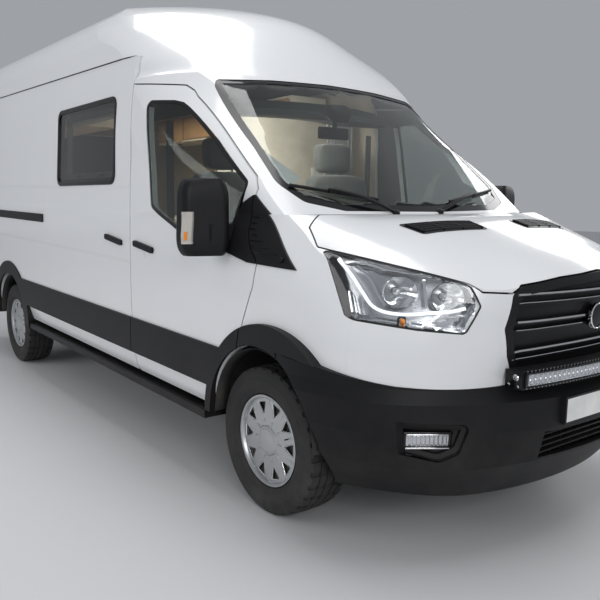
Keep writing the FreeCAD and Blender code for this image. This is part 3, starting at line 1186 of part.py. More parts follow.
def make_all():
    nodes, outer, left_inner, arches = nodes_of_body()
    mould = make_mouldings(outer, arches)
    door_prism = side_prism(door_outline(0), 0, LENGTH)
    door_gap = side_prism(door_outline(PANEL_GAP), 0, LENGTH)
    nodes["door_moulding_left"] = mould.common(door_prism)
    fixed = mould.cut(door_gap)
    nodes["side_mouldings"] = Part.makeCompound([fixed, mirrored(fixed)])
    plate = corner_plate(outer)
    nodes["mirror_left"] = lone(make_mirror().fuse([make_mirror_arm(outer), plate.common(door_prism)]))
    fixed = plate.cut(door_gap)
    nodes["corner_plates"] = Part.makeCompound([fixed, mirrored(fixed)])
    nodes["cab_handle_left"] = make_handle(outer, CAB_HANDLE_X, HANDLE_Z)
    pull = mirrored(make_handle(outer, SLIDE_HANDLE_X, SLIDE_HANDLE_Z))
    nodes["slide_handle"] = lone(pull.cut(nodes["sliding_door_right"]))
    houses = make_wheel_houses(left_inner)
    nodes["floor_pan"] = make_floor(left_inner, houses)
    nodes["underbody"] = make_underbody()
    nodes["side_steps"] = make_steps()
    nodes["front_subframe"] = make_subframe()
    nodes["rear_axle"] = make_rear_axle()
    nodes["rear_bumper"] = make_rear_bumper(outer)
    nodes["rear_lamps"] = make_rear_lamps(outer)
    nodes["light_bar"] = lone(make_light_bar().cut(nodes["front_panel"]).cut(nodes["grille"]))
    nodes["number_plate"] = make_plate(bumper_loft(0))
    nodes["engine"] = box(ENGINE_BACK_X, ENGINE_BACK_X + ENGINE_LONG, -ENGINE_HALF, ENGINE_HALF, ENGINE_LOW,
                          ENGINE_HIGH)
    nodes["dashboard"] = lone(make_dashboard().fuse(make_steering_wheel()))
    frames, soft = make_seats()
    nodes["seat_frames"] = frames
    nodes["seat_pads"] = Part.makeCompound(soft)
    cabinet, bed = make_furniture(left_inner)
    nodes["kitchen_cabinet"] = cabinet
    nodes["bed_platform"] = bed
    frame = window_frame(outer)
    nodes["living_window"] = mirrored(frame)
    rail_pairs = [(RAIL_BACK_X, RAIL_LOW), (SLIDE_BACK_X - PANEL_GAP, RAIL_LOW),
                  (SLIDE_BACK_X - PANEL_GAP, RAIL_LOW + RAIL_TALL), (RAIL_BACK_X, RAIL_LOW + RAIL_TALL)]
    rail = side_prism([(x, raked(z, x)) for x, z in rail_pairs], TRIM_IN, TRIM_OUT).cut(outer)
    nodes["slide_rail"] = mirrored(rail)
    nodes["knuckle_left"] = make_knuckle()
    wheel_f, tyre_f = make_wheel(FRONT_TRACK), make_tyre(FRONT_TRACK)
    wheel_r, tyre_r = make_wheel(REAR_TRACK), make_tyre(REAR_TRACK)
    for name, wheel, tyre, x in (("front", wheel_f, tyre_f, AXLE_F), ("rear", wheel_r, tyre_r, AXLE_R)):
        wheel, tyre = placed(wheel, x, TYRE_RADIUS), placed(tyre, x, TYRE_RADIUS)
        nodes["wheel_%s_left" % name] = wheel
        nodes["wheel_%s_right" % name] = mirrored(wheel)
        nodes["tyre_%s_left" % name] = tyre
        nodes["tyre_%s_right" % name] = mirrored(tyre)
    for name in ("cab_door", "cab_glass", "rear_door", "door_moulding", "mirror", "cab_handle", "knuckle"):
        nodes[name + "_right"] = mirrored(nodes[name + "_left"])
    return nodes


def window_frame(outer):
    """Frame and pane of the living space's hinged acrylic window."""
    ring = side_prism(window_outline(-SEAT_GAP), HALF_WIDTH * HALF, LENGTH, WINDOW_CORNER)
    return layer(outer, ring, Vector(0, PANEL_GAP, 0), Vector(0, -GRILLE_FRAME, 0))


def main():
    os.makedirs("parts", exist_ok=True)
    for name, shape in make_all().items():
        shape.exportStep("parts/%s.step" % name)
        print(name, len(shape.Solids), shape.isValid())


main()
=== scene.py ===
# %% [markdown]
# A high-roof camper van, dressed for a studio picture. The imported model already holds
# the body, doors, glass, lamps, wheels and cab at their real places. This script adds
# what a model of plain solids lacks: paint, grained plastic, tinted glass, tread, lamp
# insides, handles, wipers, seals and the fittings that show through the windows.
# Everything is in metres: +X forward, +Y to the vehicle's left, +Z up.

# %% Frame, bounds and shared names
import json
import math

import bmesh
import bpy
import numpy as np
from mathutils import Matrix, Vector
from mathutils.bvhtree import BVHTree
from mathutils.kdtree import KDTree

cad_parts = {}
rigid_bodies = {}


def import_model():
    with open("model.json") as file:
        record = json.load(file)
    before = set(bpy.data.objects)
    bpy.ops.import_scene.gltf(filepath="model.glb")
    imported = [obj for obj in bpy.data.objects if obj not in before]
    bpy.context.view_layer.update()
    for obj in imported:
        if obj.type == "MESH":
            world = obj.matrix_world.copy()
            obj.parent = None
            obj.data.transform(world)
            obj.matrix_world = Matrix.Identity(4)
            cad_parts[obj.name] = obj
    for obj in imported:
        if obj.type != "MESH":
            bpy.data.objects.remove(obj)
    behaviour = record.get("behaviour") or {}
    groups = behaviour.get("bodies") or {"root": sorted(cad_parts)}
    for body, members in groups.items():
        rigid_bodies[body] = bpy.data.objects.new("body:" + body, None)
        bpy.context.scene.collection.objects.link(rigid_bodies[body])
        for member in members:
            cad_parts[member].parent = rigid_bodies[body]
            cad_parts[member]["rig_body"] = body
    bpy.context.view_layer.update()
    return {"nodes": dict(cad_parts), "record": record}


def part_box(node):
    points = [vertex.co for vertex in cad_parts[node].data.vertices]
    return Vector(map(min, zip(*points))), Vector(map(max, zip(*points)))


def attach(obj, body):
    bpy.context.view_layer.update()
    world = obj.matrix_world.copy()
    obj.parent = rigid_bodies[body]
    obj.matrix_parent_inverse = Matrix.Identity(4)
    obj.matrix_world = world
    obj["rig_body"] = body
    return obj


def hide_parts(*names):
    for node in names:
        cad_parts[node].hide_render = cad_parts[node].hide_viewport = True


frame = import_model()
nodes = frame["nodes"]
SIDES = (("left", 1), ("right", -1))

# %% [markdown]
# The camera repeats the photograph's: its place, its aim and its focal length were
# solved from the wheels, the sills and the body edges. A camera matrix has the
# right, up and backward directions as its columns, so three directions are enough.

# %% Camera
CAMERA_PLACE = Vector((4.4519, -2.8042, 1.4507))
CAMERA_RIGHT = Vector((0.57474, 0.81832, 0.00462))
CAMERA_UP = Vector((-0.12624, 0.08309, 0.98850))
LENS_MM = 41.744
SHIFT_ACROSS = 0.0816
SHIFT_UP = 0.0099

camera = bpy.data.objects.new("camera", bpy.data.cameras.new("camera"))
bpy.context.scene.collection.objects.link(camera)
back = CAMERA_RIGHT.cross(CAMERA_UP)
turn = Matrix((CAMERA_RIGHT, CAMERA_UP, back)).transposed()
camera.matrix_world = Matrix.Translation(CAMERA_PLACE) @ turn.to_4x4()
camera.data.lens = LENS_MM
camera.data.shift_x = SHIFT_ACROSS
camera.data.shift_y = SHIFT_UP
bpy.context.scene.camera = camera
print("camera", [round(v, 3) for v in camera.location])

# %% [markdown]
# The studio is a pale floor with soft light from above and from both sides. White
# paint shows its form by what it reflects, so the sky is a shade darker than the paint
# and the lamps are long panels, like the tubes of a workshop. The side panel lights the
# doors but is kept out of reflections, where it would draw a bright streak across the
# curved door glass. Two small lamps inside stand in for the light that a real cabin
# gets through all its windows, and only their light shows.

# %% Floor, sky and lamps
FLOOR_SIZE = 60.0
FLOOR_TONE = (0.62, 0.62, 0.63, 1.0)
SKY_TONE = (0.82, 0.85, 0.90, 1.0)
SKY_STRENGTH = 0.42


def area_lamp(name, place, aim, size, power, tint=(1.0, 1.0, 1.0)):
    lamp = bpy.data.objects.new(name, bpy.data.lights.new(name, "AREA"))
    bpy.context.scene.collection.objects.link(lamp)
    lamp.data.shape = "RECTANGLE"
    lamp.data.size, lamp.data.size_y = size
    lamp.data.energy = power
    lamp.data.color = tint
    lamp.location = place
    lamp.rotation_euler = (Vector(aim) - Vector(place)).to_track_quat("-Z", "Y").to_euler()
    return lamp


def make_studio():
    shape = bmesh.new()
    bmesh.ops.create_grid(shape, x_segments=1, y_segments=1, size=FLOOR_SIZE / 2)
    mesh = bpy.data.meshes.new("floor")
    shape.to_mesh(mesh)
    shape.free()
    floor = bpy.data.objects.new("floor", mesh)
    bpy.context.scene.collection.objects.link(floor)
    paint = bpy.data.materials.new("studio_floor")
    paint.use_nodes = True
    shader = paint.node_tree.nodes["Principled BSDF"]
    shader.inputs["Base Color"].default_value = FLOOR_TONE
    shader.inputs["Roughness"].default_value = 0.6
    mesh.materials.append(paint)
    world = bpy.data.worlds.new("studio")
    bpy.context.scene.world = world
    world.use_nodes = True
    sky = world.node_tree.nodes["Background"]
    sky.inputs["Color"].default_value = SKY_TONE
    sky.inputs["Strength"].default_value = SKY_STRENGTH
    area_lamp("ceiling_panel", (0.5, 0.0, 6.5), (0.5, 0.0, 0.0), (9.0, 3.0), 240)
    area_lamp("front_panel_light", (8.5, -3.5, 3.6), (1.8, 0.0, 1.0), (3.5, 2.4), 150)
    side_panel = area_lamp("side_panel_light", (-1.0, -8.0, 3.4), (0.0, 0.0, 1.2), (8.0, 2.2), 210)
    side_panel.visible_glossy = False
    inside = [
        area_lamp("room_lamp", (-0.7, 0.0, 2.19), (-0.7, 0.0, 0.0), (1.4, 0.4), 24, (1.0, 0.88, 0.70)),
        area_lamp("cab_lamp", (0.95, -0.10, 1.93), (0.27, 0.30, 1.45), (0.5, 0.25), 20, (1.0, 0.95, 0.88)),
    ]
    for lamp in inside:
        lamp.visible_camera = lamp.visible_transmission = lamp.visible_glossy = False
    area_lamp("far_panel_light", (1.0, 8.0, 4.0), (0.0, 0.0, 1.2), (7.0, 2.6), 150)


make_studio()
bpy.context.scene.view_settings.view_transform = "Standard"

# %% [markdown]
# Every finish on the van is a small network of nodes, so nothing depends on pictures.
# Two effects come back in many of them, a fine grain and road dust, and each is a node
# group: it takes a size and a strength, and puts out a height or a mask. The shader
# itself stays in the material, where the uniform gloss is set on its own sockets.

# %% Node helpers and shared groups


def add_node(tree, kind, links=(), **values):
    """Adds a node; links are (input, output socket) and values are inputs or settings."""
    node = tree.nodes.new(kind)
    for key, value in values.items():
        if hasattr(node, key):
            setattr(node, key, value)
        else:
            node.inputs[key.replace("_", " ")].default_value = value
    for key, socket in links:
        tree.links.new(socket, node.inputs[key])
    return node


def maths(tree, operation, first, second):
    """A Math node's result; each side is a socket or a number."""
    node = tree.nodes.new("ShaderNodeMath")
    node.operation = operation
    for slot, given in enumerate((first, second)):
        if isinstance(given, (int, float)):
            node.inputs[slot].default_value = given
        else:
            tree.links.new(given, node.inputs[slot])
    return node.outputs[0]


def new_group(name, inputs, outputs):
    """A shader group with named number inputs; returns it with its two end nodes."""
    group = bpy.data.node_groups.new(name, "ShaderNodeTree")
    for label, start in inputs:
        socket = group.interface.new_socket(label, in_out="INPUT", socket_type="NodeSocketFloat")
        socket.default_value = start
    for label, kind in outputs:
        group.interface.new_socket(label, in_out="OUTPUT", socket_type=kind)
    return group, group.nodes.new("NodeGroupInput"), group.nodes.new("NodeGroupOutput")


def make_grain_group():
    """Moulded grain: a cell pattern softened by noise. Scale is in cells per metre."""
    group, given, out = new_group("grain", (("Scale", 900.0), ("Soft", 0.35)),
                                  (("Height", "NodeSocketFloat"), ("Mask", "NodeSocketFloat")))
    place = add_node(group, "ShaderNodeTexCoord")
    cells = add_node(group, "ShaderNodeTexVoronoi",
                     (("Vector", place.outputs["Object"]), ("Scale", given.outputs["Scale"])))
    cloud = add_node(group, "ShaderNodeTexNoise", (("Vector", place.outputs["Object"]),),
                     Scale=7.0, Detail=5.0, Roughness=0.6)
    mix = add_node(group, "ShaderNodeMix", (("Factor", given.outputs["Soft"]),
                                            ("A", cells.outputs["Distance"]), ("B", cloud.outputs["Fac"])))
    group.links.new(mix.outputs["Result"], out.inputs["Height"])
    group.links.new(cloud.outputs["Fac"], out.inputs["Mask"])
    return group


def make_dust_group():
    """Road dust: strongest near the ground, broken up by noise."""
    group, given, out = new_group("road_dust", (("Top", 0.9), ("Amount", 0.5)),
                                  (("Mask", "NodeSocketFloat"),))
    place = add_node(group, "ShaderNodeTexCoord")
    split = add_node(group, "ShaderNodeSeparateXYZ", ((0, place.outputs["Object"]),))
    fade = add_node(group, "ShaderNodeMapRange", (("Value", split.outputs["Z"]),
                                                  ("From Max", given.outputs["Top"])), To_Min=1.0, To_Max=0.0)
    cloud = add_node(group, "ShaderNodeTexNoise", (("Vector", place.outputs["Object"]),),
                     Scale=5.0, Detail=8.0, Roughness=0.7)
    sharp = add_node(group, "ShaderNodeMapRange", (("Value", cloud.outputs["Fac"]),),
                     From_Min=0.4, From_Max=0.75)
    both = maths(group, "MULTIPLY", fade.outputs["Result"], sharp.outputs["Result"])
    group.links.new(maths(group, "MULTIPLY", both, given.outputs["Amount"]), out.inputs["Mask"])
    return group


GRAIN = make_grain_group()
DUST = make_dust_group()
DUST_TONE = (0.30, 0.27, 0.23, 1.0)


def new_material(name, **settings):
    """A material with its Principled shader's sockets set by name."""
    material = bpy.data.materials.new(name)
    material.use_nodes = True
    shader = material.node_tree.nodes["Principled BSDF"]
    for key, value in settings.items():
        shader.inputs[key.replace("_", " ")].default_value = value
    return material, material.node_tree, shader


def place_group(tree, group, **values):
    node = tree.nodes.new("ShaderNodeGroup")
    node.node_tree = group
    for key, value in values.items():
        node.inputs[key].default_value = value
    return node


def tint_by(tree, shader, mask, low, high, socket="Base Color"):
    mix = tree.nodes.new("ShaderNodeMix")
    mix.data_type = "RGBA" if socket == "Base Color" else "FLOAT"
    slots = (6, 7, 2) if socket == "Base Color" else (2, 3, 0)
    mix.inputs[slots[0]].default_value = low
    mix.inputs[slots[1]].default_value = high
    tree.links.new(mask, mix.inputs[0])
    tree.links.new(mix.outputs[slots[2]], shader.inputs[socket])
    return mix


def bump_from(tree, shader, height, strength, distance):
    bump = tree.nodes.new("ShaderNodeBump")
    bump.inputs["Strength"].default_value = strength
    bump.inputs["Distance"].default_value = distance
    tree.links.new(height, bump.inputs["Height"])
    tree.links.new(bump.outputs["Normal"], shader.inputs["Normal"])


def make_plastic(name, tone, gloss, grain_scale, depth, dusty=0.12, shine=0.5):
    material, tree, shader = new_material(name, Roughness=gloss, Specular_IOR_Level=shine)
    grain = place_group(tree, GRAIN, Scale=grain_scale, Soft=0.25)
    dust = place_group(tree, DUST, Top=0.75, Amount=dusty)
    low = (*[c * 0.75 for c in tone], 1.0)
    high = (*[min(1.0, c * 1.35) for c in tone], 1.0)
    mix = tint_by(tree, shader, grain.outputs["Mask"], low, high)
    over = tree.nodes.new("ShaderNodeMix")
    over.data_type = "RGBA"
    over.inputs[7].default_value = DUST_TONE
    tree.links.new(dust.outputs["Mask"], over.inputs[0])
    tree.links.new(mix.outputs[2], over.inputs[6])
    tree.links.new(over.outputs[2], shader.inputs["Base Color"])
    bump_from(tree, shader, grain.outputs["Height"], 0.35, depth)
    return material


def inner_mask(tree):
    """Where a shell faces the cabin: its normal points towards the van's middle."""
    shape = tree.nodes.new("ShaderNodeNewGeometry")
    place = tree.nodes.new("ShaderNodeTexCoord")
    arm = add_node(tree, "ShaderNodeVectorMath", ((0, place.outputs["Object"]),), operation="SUBTRACT")
    arm.inputs[1].default_value = (0.6, 0.0, 1.35)
    flat = add_node(tree, "ShaderNodeVectorMath", ((0, arm.outputs[0]),), operation="MULTIPLY")
    flat.inputs[1].default_value = (0.15, 1.0, 1.0)
    dot = add_node(tree, "ShaderNodeVectorMath", ((0, flat.outputs[0]), (1, shape.outputs["Normal"])),
                   operation="DOT_PRODUCT")
    return maths(tree, "LESS_THAN", dot.outputs["Value"], -0.12)


def make_paint(name, tone, lining, pressed=False):
    """Glossy paint: a clear coat over a faint orange peel, dusty near the sills, lined inside."""
    material, tree, shader = new_material(name, Coat_Roughness=0.09, Specular_IOR_Level=0.5)
    dust = place_group(tree, DUST, Top=1.0, Amount=0.10)
    mix = tint_by(tree, shader, dust.outputs["Mask"], tone, DUST_TONE)
    inside = inner_mask(tree)
    lined = tint_by(tree, shader, inside, tone, lining)
    tree.links.new(mix.outputs[2], lined.inputs[6])
    tint_by(tree, shader, inside, 0.32, 0.85, "Roughness")
    tint_by(tree, shader, inside, 1.0, 0.0, "Coat Weight")
    place = tree.nodes.new("ShaderNodeTexCoord")
    peel = add_node(tree, "ShaderNodeTexNoise", (("Vector", place.outputs["Object"]),),
                    Scale=160.0, Detail=2.0)
    height = peel.outputs["Fac"]
    if pressed:
        height = press_lines(tree, place.outputs["Object"], height)
    bump_from(tree, shader, height, 0.25 if not pressed else 1.0, 0.0002 if not pressed else 0.006)
    return material


# Each crease: level at the middle of the van, slope along it, width and signed height
CREASES = ((1.085, -0.020, 0.030, 1.0), (1.362, -0.016, 0.045, -1.0), (1.512, -0.014, 0.030, 0.7))


def press_lines(tree, place, peel):
    """Pressed creases along the body side: each is a soft step in height at its own level."""
    split = add_node(tree, "ShaderNodeSeparateXYZ", ((0, place),))
    total = maths(tree, "MULTIPLY", peel, 0.01)
    for level, rake, width, amount in CREASES:
        line = maths(tree, "SUBTRACT", split.outputs["Z"], maths(tree, "MULTIPLY", split.outputs["X"], rake))
        step = add_node(tree, "ShaderNodeMapRange", (("Value", line),), interpolation_type="SMOOTHSTEP",
                        From_Min=level, From_Max=level + width)
        total = maths(tree, "ADD", total, maths(tree, "MULTIPLY", step.outputs["Result"], amount))
    return total


def make_glass(name, tone):
    """Tinted glass. Shadow rays pass through it, tinted, so daylight reaches what is behind."""
    material, tree, shader = new_material(name, Roughness=0.0, Transmission_Weight=1.0, IOR=1.45)
    place = tree.nodes.new("ShaderNodeTexCoord")
    cloud = add_node(tree, "ShaderNodeTexNoise", (("Vector", place.outputs["Object"]),), Scale=2.0)
    deep = (*[c * 0.93 for c in tone[:3]], 1.0)
    tint_by(tree, shader, cloud.outputs["Fac"], tone, deep)
    clear = tree.nodes.new("ShaderNodeBsdfTransparent")
    clear.inputs["Color"].default_value = tone
    path = tree.nodes.new("ShaderNodeLightPath")
    mix = tree.nodes.new("ShaderNodeMixShader")
    tree.links.new(path.outputs["Is Shadow Ray"], mix.inputs[0])
    tree.links.new(shader.outputs[0], mix.inputs[1])
    tree.links.new(clear.outputs[0], mix.inputs[2])
    tree.links.new(mix.outputs[0], tree.nodes["Material Output"].inputs["Surface"])
    return material


def make_metal(name, tone, rough, grain_scale=300.0, spread=0.08):
    material, tree, shader = new_material(name, Metallic=1.0)
    grain = place_group(tree, GRAIN, Scale=grain_scale, Soft=0.6)
    low = (*[c * 0.88 for c in tone[:3]], 1.0)
    tint_by(tree, shader, grain.outputs["Mask"], low, tone)
    tint_by(tree, shader, grain.outputs["Mask"], rough, rough + spread, "Roughness")
    return material


PAINT_TONE = (0.74, 0.75, 0.765, 1.0)
CAB_LINING = (0.060, 0.061, 0.063, 1.0)
ROOM_LINING = (0.40, 0.36, 0.30, 1.0)
white_paint = make_paint("white_paint", PAINT_TONE, CAB_LINING)
side_paint = make_paint("side_paint", PAINT_TONE, ROOM_LINING, pressed=True)
trim_black = make_plastic("trim_black", (0.007, 0.007, 0.008), 0.46, 850.0, 0.0004, shine=0.28)
bumper_black = make_plastic("bumper_black", (0.006, 0.006, 0.007), 0.50, 600.0, 0.0006, shine=0.25)
gloss_black = make_plastic("gloss_black", (0.004, 0.004, 0.005), 0.16, 300.0, 0.00005, 0.05, 0.35)
cab_plastic = make_plastic("cab_plastic", (0.035, 0.036, 0.037), 0.60, 700.0, 0.0005, 0.0)
under_black = make_plastic("under_black", (0.012, 0.012, 0.012), 0.80, 60.0, 0.002, 0.5)
cream_panel = make_plastic("cream_panel", (0.62, 0.57, 0.49), 0.45, 400.0, 0.0001, 0.0)
rubber_seal = make_plastic("rubber_seal", (0.010, 0.010, 0.010), 0.65, 200.0, 0.0002, 0.2)
screen_glass = make_glass("screen_glass", (0.62, 0.66, 0.64, 1.0))
door_glass = make_glass("door_glass", (0.48, 0.52, 0.50, 1.0))
dark_glass = make_glass("dark_glass", (0.34, 0.36, 0.35, 1.0))
clear_lens = make_glass("clear_lens", (0.96, 0.97, 0.98, 1.0))
chrome = make_metal("chrome", (0.86, 0.87, 0.88, 1.0), 0.06)
silver = make_metal("silver", (0.60, 0.61, 0.62, 1.0), 0.34, 900.0)
steel = make_metal("steel", (0.30, 0.30, 0.31, 1.0), 0.45, 120.0, 0.25)
mirror_silver = make_metal("mirror_silver", (0.88, 0.90, 0.91, 1.0), 0.01, 50.0, 0.01)
red_lens = make_plastic("red_lens", (0.36, 0.010, 0.012), 0.10, 500.0, 0.0002, 0.1)
plate_white = make_plastic("plate_white", (0.72, 0.72, 0.70), 0.30, 900.0, 0.0001, 0.15)
print("materials", len(bpy.data.materials))

# %% [markdown]
# Tyre rubber is dull and carries road dust. Wood and cloth are made the same way: a
# pattern on Object coordinates drives the colour, and the same pattern the height, so
# the light catches the threads where the colour changes.

# %% Rubber, wood and cloth


def make_rubber():
    material, tree, shader = new_material("tyre_rubber", Roughness=0.72)
    grain = place_group(tree, GRAIN, Scale=500.0, Soft=0.5)
    dust = place_group(tree, DUST, Top=0.8, Amount=0.55)
    tint_by(tree, shader, dust.outputs["Mask"], (0.018, 0.018, 0.018, 1.0), (0.095, 0.088, 0.08, 1.0))
    bump_from(tree, shader, grain.outputs["Height"], 0.4, 0.0006)
    return material


def make_wood():
    material, tree, shader = new_material("oak_board", Roughness=0.42)
    place = tree.nodes.new("ShaderNodeTexCoord")
    turn = add_node(tree, "ShaderNodeMapping", (("Vector", place.outputs["Object"]),))
    turn.inputs["Scale"].default_value = (9.0, 9.0, 0.8)
    figure = add_node(tree, "ShaderNodeTexNoise", (("Vector", turn.outputs["Vector"]),),
                      Scale=2.2, Detail=9.0, Roughness=0.62, Distortion=1.4)
    tint_by(tree, shader, figure.outputs["Fac"], (0.24, 0.13, 0.062, 1.0), (0.56, 0.36, 0.20, 1.0))
    bump_from(tree, shader, figure.outputs["Fac"], 0.2, 0.0008)
    return material


def make_cloth(name, low, high, threads):
    material, tree, shader = new_material(name, Roughness=0.86, Sheen_Weight=0.35)
    place = tree.nodes.new("ShaderNodeTexCoord")
    height = None
    for turn in ((0.0, 0.0, 0.0), (0.0, 1.5708, 1.5708)):
        spin = add_node(tree, "ShaderNodeMapping", (("Vector", place.outputs["Object"]),))
        spin.inputs["Rotation"].default_value = turn
        wave = add_node(tree, "ShaderNodeTexWave", (("Vector", spin.outputs["Vector"]),),
                        Scale=threads, Distortion=0.6)
        if height is None:
            height = wave.outputs["Fac"]
        else:
            height = maths(tree, "MAXIMUM", height, wave.outputs["Fac"])
    tint_by(tree, shader, height, low, high)
    bump_from(tree, shader, height, 0.5, 0.0008)
    return material


tyre_rubber = make_rubber()
oak_board = make_wood()
seat_cloth = make_cloth("seat_cloth", (0.022, 0.024, 0.023, 1.0), (0.060, 0.066, 0.062, 1.0), 260.0)
curtain_cloth = make_cloth("curtain_cloth", (0.20, 0.20, 0.20, 1.0), (0.34, 0.34, 0.33, 1.0), 180.0)
bed_cloth = make_cloth("bed_cloth", (0.36, 0.35, 0.33, 1.0), (0.52, 0.51, 0.48, 1.0), 200.0)
print("materials", len(bpy.data.materials))

# %% [markdown]
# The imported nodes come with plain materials. Here each one is given the finish that
# its record slot stands for, or one of its own: the sides have pressed lines and a pale
# lining, and the door glass is darker than the windscreen.

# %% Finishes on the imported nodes
FINISH_BY_SLOT = {
    "body_paint": white_paint, "black_plastic": trim_black, "bumper_plastic": bumper_black,
    "glazing": screen_glass, "lamp_lens": clear_lens, "lamp_red": red_lens,
    "floor_metal": under_black, "chassis_metal": under_black, "engine_metal": steel,
    "cab_plastic": cab_plastic, "seat_fabric": seat_cloth, "furniture_wood": oak_board,
    "wheel_paint": silver, "tyre_rubber": tyre_rubber,
}
FINISH_BY_NODE = {
    "side_wall_left": side_paint, "side_wall_right": side_paint, "sliding_door_right": side_paint,
    "grille": trim_black, "cab_glass_left": door_glass, "cab_glass_right": door_glass,
}


def dress_nodes():
    slots = {row["node"]: row["material_slot"] for row in frame["record"]["subparts"]}
    for name, obj in nodes.items():
        finish = FINISH_BY_NODE.get(name, FINISH_BY_SLOT[slots[name]])
        obj.data.materials.clear()
        obj.data.materials.append(finish)
    return slots


SLOT_OF = dress_nodes()
print("nodes dressed", len(SLOT_OF))

# %% [markdown]
# A new piece starts as a bmesh in real coordinates. One helper turns it into an object
# at the origin, gives it its finish, rounds its look where faces meet softly and ties
# it to the body that carries it. Another makes the mirror copy for the other side.

# %% Helpers for new pieces
SOFT_ANGLE = math.radians(34.0)
ALL_SOFT = 3.2  # past any angle between faces, so every edge looks soft
WELD = 0.00001


def finish_piece(name, shape, finish, body, slot, soft=SOFT_ANGLE, merge=0.0):
    """Makes an object from a bmesh, in place, and ties it to a body."""
    if merge:
        bmesh.ops.remove_doubles(shape, verts=shape.verts, dist=merge)
    bmesh.ops.recalc_face_normals(shape, faces=shape.faces)
    for face in shape.faces:
        face.smooth = soft > 0.0
    for edge in shape.edges:
        edge.smooth = len(edge.link_faces) != 2 or edge.calc_face_angle(0.0) < soft
    mesh = bpy.data.meshes.new(name)
    shape.to_mesh(mesh)
    shape.free()
    obj = bpy.data.objects.new(name, mesh)
    bpy.context.scene.collection.objects.link(obj)
    mesh.materials.append(finish)
    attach(obj, body)
    return obj


def mirrored_copy(shape):
    """The same bmesh on the other side of the vehicle."""
    twin = shape.copy()
    bmesh.ops.scale(twin, vec=(1.0, -1.0, 1.0), verts=twin.verts)
    bmesh.ops.reverse_faces(twin, faces=twin.faces)
    return twin


def both_sides(name, shape, finish, body, slot, **more):
    """A left piece and its mirror image; body holds {} where the side's name goes."""
    twin = mirrored_copy(shape)
    left = finish_piece(name + "_left", shape, finish, body.format("left"), slot, **more)
    right = finish_piece(name + "_right", twin, finish, body.format("right"), slot, **more)
    return left, right


def block(shape, low, high, round_by=0.0, segments=2):
    """Adds a box between two corners to a bmesh, with rounded edges."""
    made = bmesh.ops.create_cube(shape, size=1.0)["verts"]
    low, high = Vector(low), Vector(high)
    bmesh.ops.scale(shape, vec=high - low, verts=made)
    bmesh.ops.translate(shape, vec=(low + high) / 2, verts=made)
    if round_by:
        edges = list({edge for vert in made for edge in vert.link_edges})
        bmesh.ops.bevel(shape, geom=edges, offset=round_by, segments=segments, profile=0.5,
                        affect="EDGES", material=-1)
    return shape


def ring_profile(shape, points, centre, axis, steps, close=True):
    """Spins a profile, given as (along the axis, out from it), once round an axis."""
    axis = Vector(axis).normalized()
    side = axis.orthogonal().normalized()
    verts = [shape.verts.new(Vector(centre) + axis * a + side * r) for a, r in points]
    after = verts[1:] + verts[:1] if close else verts[1:]
    edges = [shape.edges.new(pair) for pair in zip(verts, after)]
    bmesh.ops.spin(shape, geom=verts + edges, cent=centre, axis=axis, angle=2 * math.pi,
                   steps=steps, use_merge=True)
    bmesh.ops.remove_doubles(shape, verts=shape.verts, dist=0.00002)
    return shape


def new_verts(made):
    """The vertices that an extrusion made."""
    return [g for g in made["geom"] if isinstance(g, bmesh.types.BMVert)]


def round_corners(shape, verts, radius, steps):
    """Rounds the corners of a flat face."""
    bmesh.ops.bevel(shape, geom=verts, offset=radius, segments=steps, profile=0.5,
                    affect="VERTICES", material=-1)


def cut_by_plane(shape, place, away):
    """Cuts a bmesh by a plane and drops what lies on the far side."""
    bmesh.ops.bisect_plane(shape, geom=list(shape.verts) + list(shape.edges) + list(shape.faces),
                           dist=0.00001, plane_co=place, plane_no=away, clear_outer=True)


def thicken(obj, thickness, offset=-1.0):
    """Gives a skin a wall: inward by default, to both sides with offset 0."""
    wall = obj.modifiers.new("thickness", "SOLIDIFY")
    wall.thickness = thickness
    wall.offset = offset


def round_off(obj):
    """Two levels of subdivision, the same in the viewport as in the render."""
    rounding = obj.modifiers.new("rounding", "SUBSURF")
    rounding.levels = rounding.render_levels = 2


print("helpers ready")

# %% [markdown]
# A tyre is its profile spun once round the axle: bead, bulged wall with two fine rings,
# shoulder and a slightly crowned tread. The four grooves are steps in that profile,
# so they cost nothing more. The blocks come after: every third shoulder face, and some
# faces of the ribs, are inset and sunk.

# %% Tyres
TYRE_STEPS = 96
TREAD_GROOVES = ((-0.062, 0.009), (-0.022, 0.010), (0.022, 0.010), (0.062, 0.009))
GROOVE_DEEP = 0.0075
BLOCK_DEEP = 0.006
BEAD_RADIUS = 0.212


def tyre_profile(half, outer, bead):
    """One side of a tyre, from bead to tread middle: (along the axle, out from it)."""
    side = [(0.66 * half, bead), (0.86 * half, bead + 0.010), (0.965 * half, bead + 0.030),
            (0.975 * half, bead + 0.033), (0.985 * half, bead + 0.033), (1.0 * half, bead + 0.052),
            (0.995 * half, bead + 0.076), (0.985 * half, bead + 0.078), (0.975 * half, bead + 0.090),
            (0.95 * half, outer - 0.030), (0.915 * half, outer - 0.014), (0.86 * half, outer - 0.006)]
    tread = []
    for middle, wide in reversed(TREAD_GROOVES):
        if middle > 0.0:
            for y, drop in ((middle + wide / 2, 0.0), (middle + wide / 2 - 0.002, GROOVE_DEEP),
                            (middle - wide / 2 + 0.002, GROOVE_DEEP), (middle - wide / 2, 0.0)):
                crown = 0.004 * (y / half) ** 2
                tread.append((y, outer - crown - drop))
    return side + tread


